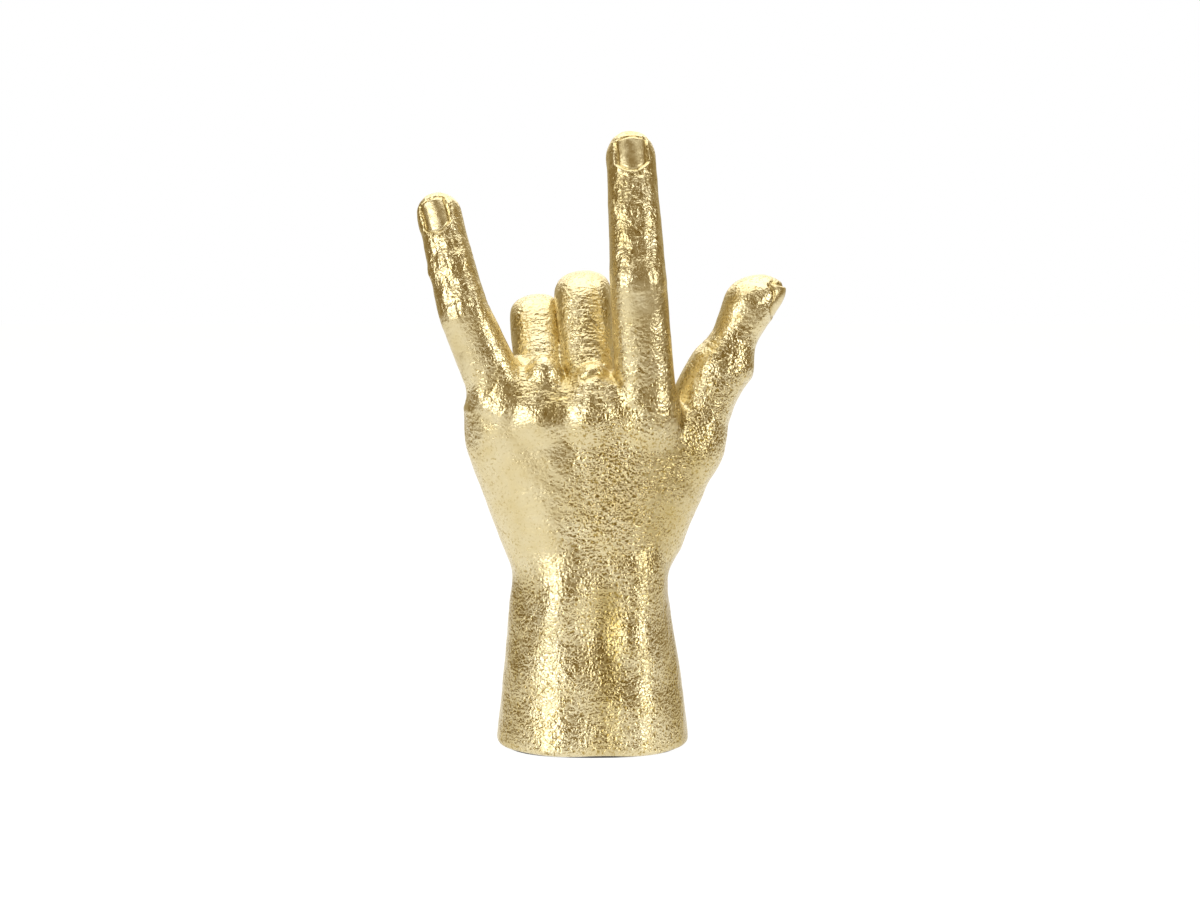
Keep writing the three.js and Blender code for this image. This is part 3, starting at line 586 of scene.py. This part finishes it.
# Unevenness of the cast skin: heights and lengths of its waves, and where they are higher
SLOW_WAVE = 0.35
SLOW_WAVE_LENGTH = 24
SLOW_WAVE_SEED = 10
LUMP = 0.06
LUMP_AT_KNUCKLES = 0.05
LUMP_LENGTH = 9
LUMP_SEED = 7
DIMPLE = 0.016
DIMPLE_AT_KNUCKLES = 0.03
DIMPLE_LENGTH = 3.6
DIMPLE_SEED = 8
KNUCKLE_HEIGHT = 134  # where the skin is lumpiest
KNUCKLE_REACH = 10
KNUCKLE_EDGE = 36  # towards the thumb
FOREARM_TOP = 84
FOREARM_FADE = 20
FOREARM_SIDES = 11  # from the middle to the back, over which the sides stay even


def lumps(points):
    """Unevenness of the cast skin, in millimetres."""
    x, y, z = points.T
    knuckles = bell(z - KNUCKLE_HEIGHT, KNUCKLE_REACH) * soft_step((KNUCKLE_EDGE - x) / KNUCKLE_REACH)
    forearm = soft_step((FOREARM_TOP - z) / FOREARM_FADE) * (1 - bell(y, FOREARM_SIDES))
    slow_waves = SLOW_WAVE * forearm * ripple(points, SLOW_WAVE_LENGTH, SLOW_WAVE_SEED)
    large = (LUMP + LUMP_AT_KNUCKLES * knuckles) * ripple(points, LUMP_LENGTH, LUMP_SEED)
    small = (DIMPLE + DIMPLE_AT_KNUCKLES * knuckles) * ripple(points, DIMPLE_LENGTH, DIMPLE_SEED)
    return slow_waves + large + small


# Nails
NAIL_LENGTH = 12
NAIL_WIDTH = 0.62  # of the finger's
NAIL_BOW = 1.0  # of the free edge
NAIL_ROOT_BOW = 0.45  # in half widths of the nail
NAIL_FULLNESS = 2.8  # of the finger end's upper side, where 2 is round
NAIL_EDGE = 0.6
NAIL_HEIGHT = 0.35
NAIL_LEVELLING = 0.8  # share of the finger end's drop that the nail makes up for
NAIL_CROWN = 0.9
NAIL_GROOVE = 0.45
NAIL_GROOVE_BREADTH = 0.45
NAIL_GROOVE_END = 0.6  # past the free edge
FREE_EDGE_GROOVE = 0.45
FREE_EDGE_GROOVE_PLACE = 0.5  # past the free edge
FREE_EDGE_GROOVE_BREADTH = 0.5
NAIL_FOLD = 0.12
NAIL_FOLD_PLACE = 1.3
NAIL_FOLD_BREADTH = 0.9
NAIL_FOLD_FADE = 2
NAIL_SIDE = 0.1  # of the back's height, below which no nail shows
NAIL_SIDE_FADE = 0.25
NAIL_POLISH = 0.7  # share of the crinkles that a nail lacks


def end_height(share):
    """Height of the finger end's upper side, at a share of the way to its tip."""
    return (1 - share ** NAIL_FULLNESS) ** (1 / NAIL_FULLNESS)


def nail_relief(finger, place, offset, height):
    """Height of the nail and its folds over the plain finger end, and where the nail is."""
    half = NAIL_WIDTH * finger.width(finger.tip_start) / 2
    free = finger.end - finger.nail_from_tip
    bowed = (offset / half) ** 2
    side = np.abs(offset) - half
    root = free - NAIL_LENGTH + NAIL_ROOT_BOW * half * bowed - place
    front = place - (free - NAIL_BOW * bowed)
    rim = np.maximum(side, root)
    nail = soft_step_about_zero(-np.maximum(rim, front) / NAIL_EDGE)
    _, back, _ = finger.girth(finger.tip_start)
    past = np.clip((place - finger.tip_start) / finger.tip, 0, 1)
    drop = back * (1 - end_height(past))
    lift = np.minimum(NAIL_LEVELLING * drop, finger.nail_lift)
    plate = (NAIL_HEIGHT + lift - NAIL_CROWN * bowed) * nail
    groove = NAIL_GROOVE * bell(rim, NAIL_GROOVE_BREADTH) * (front < NAIL_GROOVE_END)
    under_edge = bell(front - FREE_EDGE_GROOVE_PLACE, FREE_EDGE_GROOVE_BREADTH)
    groove = groove + FREE_EDGE_GROOVE * under_edge * (rim < 0)
    fold = NAIL_FOLD * bell(rim - NAIL_FOLD_PLACE, NAIL_FOLD_BREADTH) * soft_step(1 - front / NAIL_FOLD_FADE)
    shown = soft_step((height - NAIL_SIDE) / NAIL_SIDE_FADE)
    return (plate - groove + fold) * shown, nail * shown


# Wrinkles of the fingers: of each kind its height or depth, then its lengths and places
UPPER_FADE = 0.5  # of the back's height, over which the wrinkles of the back begin
LOWER_FADE = 0.4  # of the pad's depth, over which the creases of the pad begin
STRAIGHT = 1  # bend in radians, below which a finger counts as straight
LEAST_STRETCH = 0.15  # share of the wrinkles that stays over a bent joint
STREAK = 0.1
STREAK_LENGTH = 1.9
STREAK_STRETCH = (1, 0.3)  # across and along the finger
STREAK_PLACE = 2
STREAK_REACH = 6
STREAK_SEED = 9
BLOTCH = 0.09
BLOTCH_LENGTH = 5.5
BLOTCH_STRETCH = (1, 0.7)
BLOTCH_START = -1
BLOTCH_FADE = 5
BLOTCH_SEED = 11
WRINKLES = range(-3, 4)
WRINKLE = 0.08
WRINKLE_BREADTH = 0.42
WRINKLE_BOW = 0.9
WRINKLE_UNEVENNESS = 0.35
WRINKLE_BEATS = (5, 3)  # steps of the unevenness from wrinkle to wrinkle and from joint to joint
WRINKLE_FADE = 3.2
SWELLING_REACH = 3.5  # in spreads of the wrinkles
SWELLING_SIDE = 0.2
SWELLING_FADE = 0.6
PAD_CREASES = (-0.9, 1.1)
PAD_CREASE = 0.35
BENT_PAD_CREASE = 0.2
PAD_CREASE_BREADTH = 0.7
SLANT = 0.28
SLANT_BREADTH = 0.55
SLANT_TILT = 0.5
SLANT_TURN = 0.12  # from one slanting crease to the next
SLANT_BOW = 0.05
SLANT_UNEVENNESS = 0.4
SLANT_SIDE = 5
SLANT_FADE = 5


def wrinkle_relief(finger, place, offset, height):
    """Wrinkles over the joints, creases under them, fine lengthwise lines and slanting creases."""
    bowed = (offset / (finger.width(place) / 2)) ** 2
    upper, lower = soft_step(height / UPPER_FADE), soft_step(-height / LOWER_FADE)
    swollen = soft_step((height - SWELLING_SIDE) / SWELLING_FADE)
    sheet = np.stack((offset, place), 1)
    streaks = ripple(sheet * STREAK_STRETCH, STREAK_LENGTH, STREAK_SEED)
    blotches = ripple(sheet * BLOTCH_STRETCH, BLOTCH_LENGTH, BLOTCH_SEED)
    straight = finger.bends[0] < STRAIGHT
    pad_crease = (PAD_CREASE if straight else BENT_PAD_CREASE) * finger.wrinkling
    relief = np.zeros_like(place)
    if straight:
        beyond = soft_step((place - finger.joints[0] - BLOTCH_START) / BLOTCH_FADE)
        relief += BLOTCH * finger.wrinkling * blotches * beyond * upper
    joints = zip(finger.joints, finger.bends, finger.spreads, finger.swellings)
    for number, (joint, bend, spread, swelling) in enumerate(joints):
        past = place - joint
        stretched = np.clip(1 - abs(bend), LEAST_STRETCH, 1)
        wrinkled = stretched * finger.wrinkling
        relief += STREAK * wrinkled * streaks * bell(past - STREAK_PLACE, STREAK_REACH) * upper
        for line in WRINKLES:
            beat = np.sin(WRINKLE_BEATS[0] * line + WRINKLE_BEATS[1] * number)
            shift = line * spread + WRINKLE_UNEVENNESS * beat
            curved = past - shift - WRINKLE_BOW * np.sign(line) * bowed * spread
            relief -= WRINKLE * wrinkled * bell(curved, WRINKLE_BREADTH) * upper * bell(line, WRINKLE_FADE)
        relief += swelling * stretched * bell(past, SWELLING_REACH * spread) * swollen
        for shift in PAD_CREASES:
            relief -= pad_crease * bell(past - finger.crease - shift, PAD_CREASE_BREADTH) * lower
    for number, slant in enumerate(finger.slants):
        tilt = SLANT_TILT + SLANT_TURN * number
        curved = place - finger.joints[0] - slant + tilt * offset + SLANT_BOW * offset ** 2
        side = soft_step((offset + SLANT_SIDE - number) / SLANT_FADE)
        relief -= SLANT * bell(curved + SLANT_UNEVENNESS * blotches, SLANT_BREADTH) * side * upper
    return relief


# Skins of the pieces
RELIEF_START = 1  # past the joining line
RELIEF_FADE = 4
FULL_CREASE_SHADE = 0.4  # depth at which a wrinkle's painted shade is full
# depth at which a palm crease's painted shade is full
FULL_PALM_CREASE_SHADE = 0.8
PALM_MARGIN = 3  # of the grid below the base
PALM_LOW = (-56, -37, BASE_HEIGHT - PALM_MARGIN)
PALM_HIGH = (60, 36, 168)
FOOT = 0.3  # height of the even rim on which the hand stands
FOOT_FADE = 1.5


def ring_outline():
    """Outline of a finger with half width and depths of 1: how far each point is sideways and up."""
    angle = TURN * np.arange(RING_POINTS) / RING_POINTS
    circle = np.stack((-np.cos(angle), np.sin(angle)))
    squareness = np.where(circle[1] > 0, BACK_SQUARENESS, PAD_SQUARENESS)
    return np.sign(circle) * np.abs(circle) ** (2 / squareness)


def finger_skin(finger):
    """Points, faces, painted shade of the creases and polish of a finger from just below its joining line to
    its tip.
    """
    from_place = finger.join - DIVE_LENGTH
    count = int(np.ceil((finger.tip_start - from_place) / RING_STEP)) + 1
    rise = np.linspace(0, np.pi / 2, TIP_RINGS + 1)[1:-1]
    body = np.linspace(from_place, finger.tip_start, count)
    place = np.concatenate((body, np.full(len(rise), finger.tip_start)))
    shift = np.concatenate((np.zeros(count), finger.tip * np.sin(rise)))
    scale = np.concatenate((np.ones(count), np.cos(rise)))
    nail_scale = np.concatenate((np.ones(count), end_height(np.sin(rise))))
    half, back, pad = finger.girth(place)
    sunk = DIVE * np.maximum((finger.join - place) / DIVE_LENGTH, 0) ** 2
    along, outwards = finger.directions(place)
    risen = finger.tip_rise * (shift / finger.tip) ** 2
    centre = finger.centre(place) + shift[:, None] * along + risen[:, None] * outwards

    sideways, upwards = ring_outline()
    offset = (scale * (half - sunk))[:, None] * sideways
    upper = (nail_scale * (back - sunk))[:, None]
    lower = (scale * (pad - sunk))[:, None]
    height = np.where(upwards > 0, upper, lower) * upwards
    points = centre[:, None] + offset[..., None] * finger.across + height[..., None] * outwards[:, None]
    points = points.reshape(-1, 3)
    grid = np.arange(len(points)).reshape(offset.shape)
    ahead = np.roll(grid, -1, 1)
    faces = np.stack((grid[:-1], ahead[:-1], ahead[1:], grid[1:]), -1).reshape(-1, 4)

    spot = (np.repeat(place + shift, RING_POINTS), offset.ravel(), np.tile(upwards, len(place)))
    relief, polish = nail_relief(finger, *spot)
    relief += wrinkle_relief(finger, *spot) * (1 - polish)
    relief *= soft_step((spot[0] - finger.join - RELIEF_START) / RELIEF_FADE)
    points = points + faces_normals(points, faces) * (relief + lumps(points))[:, None]

    last = grid[-1]
    tip = points[last].mean(0) + along[-1] * (finger.tip * (1 - np.sin(rise[-1])))
    points = np.vstack((points, tip))
    fan = [(a, b, len(points) - 1) for a, b in zip(last.tolist(), np.roll(last, -1).tolist())]
    root = grid[0, ::-1].tolist()
    # painted shade: deeper wrinkles and creases get a darker leaf colour
    painted_crease_shade = np.append(np.clip(-relief / FULL_CREASE_SHADE, 0, 1), 0)
    return points, faces.tolist() + fan + [root], painted_crease_shade, np.append(NAIL_POLISH * polish, 0)


def palm_skin():
    """Points, faces, painted shade of the creases and polish of the palm and the forearm."""
    points, faces = skin_where_zero(hand_distance, PALM_LOW, PALM_HIGH, PALM_CELL)
    points = even_out(points, faces, hand_distance, PALM_CELL)
    normals = faces_normals(points, faces)
    lifted = soft_step((points[:, 2] - BASE_HEIGHT - FOOT) / FOOT_FADE)
    creases = crease_relief(points, normals)
    points = points + normals * (lumps(points) * lifted + creases)[:, None]
    # the palm's creases get painted shade by their depth
    return points, faces.tolist(), np.clip(-creases / FULL_PALM_CREASE_SHADE, 0, 1), np.zeros(len(points))


# Materials
MIX_SHARE, MIX_FIRST, MIX_SECOND = 0, 6, 7  # sockets of a node that mixes colours
MIX_RESULT = 2
NOISE_MIDDLE = 0.5
WHITE = (1, 1, 1)


def mix_colours(tree, share, first, second):
    """A colour between two others, each given as a value or a socket."""
    node = tree.nodes.new("ShaderNodeMix")
    node.data_type = "RGBA"
    for index, value in ((MIX_SHARE, share), (MIX_FIRST, first), (MIX_SECOND, second)):
        if isinstance(value, bpy.types.NodeSocket):
            tree.links.new(value, node.inputs[index])
        else:
            node.inputs[index].default_value = (*value, 1)
    return node.outputs[MIX_RESULT]


class Shader:
    """A material under construction, with its nodes laid over the object's own coordinates."""

    def __init__(self, name, metallic, colour, roughness):
        self.material = bpy.data.materials.new(name)
        self.material.use_nodes = True
        self.tree = self.material.node_tree
        self.surface = self.tree.nodes["Principled BSDF"]
        self.set(self.surface, {"Metallic": metallic, "Base Color": (*colour, 1), "Roughness": roughness})
        self.place = self.add("TexCoord").outputs["Object"]

    def set(self, node, inputs):
        for name, value in inputs.items():
            if isinstance(value, bpy.types.NodeSocket):
                self.tree.links.new(value, node.inputs[name])
            else:
                node.inputs[name].default_value = value

    def add(self, kind, inputs=None, **settings):
        node = self.tree.nodes.new("ShaderNode" + kind)
        for name, value in settings.items():
            setattr(node, name, value)
        self.set(node, inputs or {})
        return node

    def attribute(self, name):
        return self.add("Attribute", attribute_name=name).outputs["Fac"]

    def noise(self, scale, detail=2.0, roughness=0.5, distortion=0.0, place=None):
        inputs = {"Vector": place or self.place, "Scale": scale, "Detail": detail, "Roughness": roughness}
        return self.add("TexNoise", {**inputs, "Distortion": distortion}).outputs["Fac"]

    def spread(self, value, low, high, to_low=0.0, to_high=1.0):
        inputs = {"Value": value, "From Min": low, "From Max": high, "To Min": to_low, "To Max": to_high}
        return self.add("MapRange", inputs).outputs["Result"]

    def math(self, operation, a, b):
        return self.add("Math", {0: a, 1: b}, operation=operation).outputs[0]

    def about_middle(self, noise, share):
        """A noise's height over its middle, times a share."""
        return self.math("MULTIPLY", self.math("SUBTRACT", noise, NOISE_MIDDLE), share)

    def mix(self, share, first, second):
        return mix_colours(self.tree, share, first, second)

    def bump(self, height, distance, below=None):
        node = self.add("Bump", {"Height": height, "Distance": distance, "Strength": 1.0})
        if below is not None:
            self.tree.links.new(below, node.inputs["Normal"])
        return node.outputs["Normal"]


# Gold leaf: colours, among them painted shade for pits, creases and dark places, patterns with their depths,
# and ranges
GOLD = (0.8, 0.6, 0.25)
PALE_GOLD = (0.78, 0.68, 0.43)
WARM_GOLD = (0.73, 0.61, 0.335)
# painted shade in the pits of the crinkles
PIT_SHADE_GOLD = (0.44, 0.315, 0.105)
# painted shade in creases and wrinkles
CREASE_SHADE_GOLD = (0.55, 0.41, 0.14)
# painted shade over the dark places
PAINTED_SHADE_GOLD = (0.39, 0.27, 0.05)
CRINKLES = {"scale": 1080, "detail": 0.8, "distortion": 0.4}
CRINKLE_DEPTH = 0.5 * MM
PEEL = {"scale": 480, "detail": 1.0}
PEEL_DEPTH = 0.5 * MM
FINE_FOLDS = {"scale": 900, "detail": 1.0, "distortion": 0.3}
FINE_FOLD_STRETCH = (0.35, 0.8, 1)
FINE_FOLD_DEPTH = 0.3 * MM
PATCHES = {"scale": 120, "detail": 3}
PATCH_RANGE = (0.35, 0.7)
# crinkle heights over which the pits get their painted shade
PIT_SHADE_RANGE = (-0.03, -0.14)
# share of painted shade that a crease gets at full depth
CREASE_SHADE_SHARE = 0.7
GLOSS = {"scale": 420, "detail": 2}
GLOSS_RANGE = (0.3, 0.7)
GOLD_ROUGHNESS = 0.25
GOLD_ROUGHNESS_RANGE = (0.16, 0.27)
SMOOTH_ROUGHNESS = 0.15  # added where the leaf has no crinkles


def gold_leaf():
    """Crinkled gold leaf with shade painted into its colour: in the pits of the crinkles, in creases and
    wrinkles, and over the dark places.
    """
    leaf = Shader("gold_leaf", metallic=1.0, colour=GOLD, roughness=GOLD_ROUGHNESS)
    crinkled = leaf.attribute("grain")
    crinkles = leaf.about_middle(leaf.noise(**CRINKLES), crinkled)
    peel = leaf.about_middle(leaf.noise(**PEEL), crinkled)
    across = leaf.add("VectorMath", {0: leaf.place, 1: FINE_FOLD_STRETCH}, operation="MULTIPLY").outputs[0]
    fine_folds = leaf.about_middle(leaf.noise(**FINE_FOLDS, place=across), leaf.attribute("folds"))
    normal = leaf.bump(crinkles, CRINKLE_DEPTH)
    normal = leaf.bump(peel, PEEL_DEPTH, normal)
    normal = leaf.bump(fine_folds, FINE_FOLD_DEPTH, normal)
    warm = leaf.spread(leaf.noise(**PATCHES), *PATCH_RANGE)
    colour = leaf.mix(warm, PALE_GOLD, WARM_GOLD)
    # painted shade in the low pits of the crinkles
    colour = leaf.mix(leaf.spread(crinkles, *PIT_SHADE_RANGE), colour, PIT_SHADE_GOLD)
    # painted shade in creases and wrinkles
    painted_crease_shade = leaf.math("MULTIPLY", leaf.attribute("painted_crease_shade"), CREASE_SHADE_SHARE)
    colour = leaf.mix(painted_crease_shade, colour, CREASE_SHADE_GOLD)
    # painted shade over the dark places in grooves, between fingers and on the flanks
    colour = leaf.mix(leaf.attribute("painted_shade"), colour, PAINTED_SHADE_GOLD)
    gloss = leaf.spread(leaf.noise(**GLOSS), *GLOSS_RANGE, *GOLD_ROUGHNESS_RANGE)
    smooth = leaf.math("MULTIPLY", leaf.math("SUBTRACT", 1.0, crinkled), SMOOTH_ROUGHNESS)
    roughness = leaf.math("ADD", gloss, smooth)
    leaf.set(leaf.surface, {"Base Color": colour, "Roughness": roughness, "Normal": normal})
    return leaf.material


# Steel of the rods and pins
STEEL_COLOUR = (0.62, 0.62, 0.63)
STEEL_ROUGHNESS = 0.35
STEEL_GLOSS = {"scale": 900, "detail": 3}
STEEL_GLOSS_RANGE = (0.3, 0.7)
STEEL_ROUGHNESS_RANGE = (0.25, 0.45)
STEEL_GRAIN = {"scale": 1500, "detail": 2}
STEEL_GRAIN_DEPTH = 0.05 * MM


def steel():
    bar = Shader("steel", metallic=1.0, colour=STEEL_COLOUR, roughness=STEEL_ROUGHNESS)
    gloss = bar.spread(bar.noise(**STEEL_GLOSS), *STEEL_GLOSS_RANGE, *STEEL_ROUGHNESS_RANGE)
    normal = bar.bump(bar.noise(**STEEL_GRAIN), STEEL_GRAIN_DEPTH)
    bar.set(bar.surface, {"Roughness": gloss, "Normal": normal})
    return bar.material


# Matt materials of the pieces inside and underneath
PLASTER = {
    "colour": (0.55, 0.52, 0.47),
    "dark": (0.46, 0.43, 0.38),
    "light": (0.64, 0.61, 0.56),
    "roughness": 0.9,
    "pattern": {"scale": 400, "detail": 5},
    "depth": 0.4 * MM,
}
BOARD = {
    "colour": (0.25, 0.17, 0.1),
    "dark": (0.16, 0.1, 0.06),
    "light": (0.33, 0.23, 0.14),
    "roughness": 0.75,
    "pattern": {"scale": 350, "detail": 6, "roughness": 0.7},
    "depth": 0.2 * MM,
}
FELT = {
    "colour": (0.02, 0.02, 0.022),
    "dark": (0.008, 0.008, 0.009),
    "light": (0.05, 0.05, 0.053),
    "roughness": 1.0,
    "pattern": {"scale": 1800, "detail": 4, "roughness": 0.8, "distortion": 1.5},
    "depth": 0.5 * MM,
    "sheen": 0.4,
}


def matt(name, colour, dark, light, roughness, pattern, depth, sheen=0.0):
    """A matt material that is uneven where its two colours change."""
    shader = Shader(name, metallic=0.0, colour=colour, roughness=roughness)
    noise = shader.noise(**pattern)
    shader.set(shader.surface, {
        "Base Color": shader.mix(noise, dark, light),
        "Normal": shader.bump(noise, depth),
        "Sheen Weight": sheen,
    })
    return shader.material


# Studio
STUDIO_DARK = (0.255, 0.172, 0.046)
STUDIO_REAR = (0.55, 0.47, 0.3)
STUDIO_REAR_RANGE = (0.2, 0.75)  # backward part of a way, over which the studio grows lighter
COOL = (0.9, 0.95, 1)
HAND_MIDDLE = (0, 0, 0.12)
# Soft boxes: name, place, aim, size, power and colour
SOFT_BOXES = (
    ("left_box", (-0.78, -0.85, 0.31), HAND_MIDDLE, (0.85, 0.6), 5.8, COOL),
    ("right_box", (0.95, -0.75, 0.31), HAND_MIDDLE, (0.6, 0.6), 4.4, COOL),
    ("top_box", (0, 0.12, 1.0), (0, 0.12, 0), (1.5, 1.4), 12.8, COOL),
    ("rear_box", (0, 1.0, 0.6), HAND_MIDDLE, (1.2, 0.5), 2.5, WHITE),
)
PAPER_COLOUR = (0.12, 0.12, 0.12)
FLOOR = ((-2, -2), (2, -2), (2, 2), (-2, 2))
FLOOR_GLOW = 0.97
# White card under the floor's paper, which only the gilding mirrors
CARD = ((-0.45, -0.7), (0.02, -0.7), (0.19, -0.215), (0.24, -0.1), (0.6, 0.1), (0.6, 0.8), (-0.45, 0.8))
CARD_DROP = 0.0005
CARD_FALL = (0.15, -1, 0)  # way in which the card grows dimmer
CARD_FADE = (0.235, 0.5)
CARD_GLOW = (0.97, 0.5)
CARD_FAR_COLOUR = (1, 0.88, 0.64)
# Camera, with its focal length in pixels of the photo's width
CAMERA_PLACE = (0.0024, -1.0, 0.24)
CAMERA_AIM = (0.0024, 0, 0.1126)
SENSOR_WIDTH = 36
FOCAL_PIXELS = 2680
PHOTO_WIDTH = 1200


def facing(place, aim):
    """Turn of a light or camera that looks from a place to an aim."""
    return (Vector(aim) - Vector(place)).to_track_quat("-Z", "Y").to_euler()


def camera():
    """A camera where the photo was taken from."""
    lens = bpy.data.cameras.new("camera")
    lens.sensor_width = SENSOR_WIDTH
    lens.lens = SENSOR_WIDTH * FOCAL_PIXELS / PHOTO_WIDTH
    seat = bpy.data.objects.new("camera", lens)
    seat.location = CAMERA_PLACE
    seat.rotation_euler = facing(CAMERA_PLACE, CAMERA_AIM)
    bpy.context.scene.collection.objects.link(seat)
    bpy.context.scene.camera = seat


def sheet(name, outline, height):
    """A flat sheet of white paper on the floor, and its material."""
    mesh = bpy.data.meshes.new(name)
    mesh.from_pydata([(x, y, height) for x, y in outline], [], [range(len(outline))])
    plane = bpy.data.objects.new(name, mesh)
    bpy.context.scene.collection.objects.link(plane)
    paper = Shader(name + "_paper", metallic=0.0, colour=PAPER_COLOUR, roughness=1.0)
    paper.set(paper.surface, {"Emission Color": (*WHITE, 1), "Specular IOR Level": 0.0})
    mesh.materials.append(paper.material)
    return plane, paper


def floor():
    """The white floor that the camera sees, and the card that the leaf mirrors."""
    plane, paper = sheet("floor", FLOOR, 0)
    plane.visible_glossy = False
    paper.set(paper.surface, {"Emission Strength": FLOOR_GLOW})
    card, paper = sheet("card", CARD, -CARD_DROP)
    card.visible_camera = False
    forward = paper.add("VectorMath", {0: paper.place, 1: CARD_FALL}, operation="DOT_PRODUCT")
    forward = forward.outputs["Value"]
    paper.set(paper.surface, {
        "Emission Color": paper.mix(paper.spread(forward, *CARD_FADE), WHITE, CARD_FAR_COLOUR),
        "Emission Strength": paper.spread(forward, *CARD_FADE, *CARD_GLOW),
    })


def soft_box(name, place, aim, size, power, colour):
    """A rectangular light that the camera doesn't see."""
    light = bpy.data.lights.new(name, "AREA")
    light.shape = "RECTANGLE"
    light.size, light.size_y = size
    light.energy = power
    light.color = colour
    box = bpy.data.objects.new(name, light)
    box.location = place
    box.rotation_euler = facing(place, aim)
    box.visible_camera = False
    bpy.context.scene.collection.objects.link(box)


def studio():
    """A dim warm room that the camera sees as white, and the soft boxes."""
    world = bpy.data.worlds.new("studio")
    world.use_nodes = True
    tree = world.node_tree
    background = tree.nodes["Background"]
    seen = tree.nodes.new("ShaderNodeLightPath").outputs["Is Camera Ray"]
    ways = tree.nodes.new("ShaderNodeSeparateXYZ")
    tree.links.new(tree.nodes.new("ShaderNodeTexCoord").outputs["Generated"], ways.inputs[0])
    rearward = tree.nodes.new("ShaderNodeMapRange")
    for name, value in zip(("From Min", "From Max"), STUDIO_REAR_RANGE):
        rearward.inputs[name].default_value = value
    tree.links.new(ways.outputs["Y"], rearward.inputs["Value"])
    shade = mix_colours(tree, rearward.outputs["Result"], STUDIO_DARK, STUDIO_REAR)
    tree.links.new(mix_colours(tree, seen, shade, WHITE), background.inputs["Color"])
    bpy.context.scene.world = world
    for box in SOFT_BOXES:
        soft_box(*box)


def place_skin(name, skin, material):
    """Puts a fine skin in the place of a casting."""
    piece = make_piece(name + "_skin", *skin)
    piece.data.materials.append(material)
    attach(piece, "root")
    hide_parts(name)


def dress(name, material):
    """Gives a solid that shows as it is its material."""
    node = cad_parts[name]
    node.data.materials.clear()
    node.data.materials.append(material)


bpy.context.scene.view_settings.view_transform = "Standard"
camera()
floor()
studio()
gold = gold_leaf()
place_skin("palm_shell", palm_skin(), gold)
for finger in FINGERS:
    place_skin(finger.node, finger_skin(finger), gold)
rod_steel = steel()
for bar in ("index_rod", "little_rod", "thumb_rod", "middle_pin", "ring_pin"):
    dress(bar, rod_steel)
dress("ballast_core", matt("plaster", **PLASTER))
dress("base_plate", matt("board", **BOARD))
dress("felt_pad", matt("felt", **FELT))
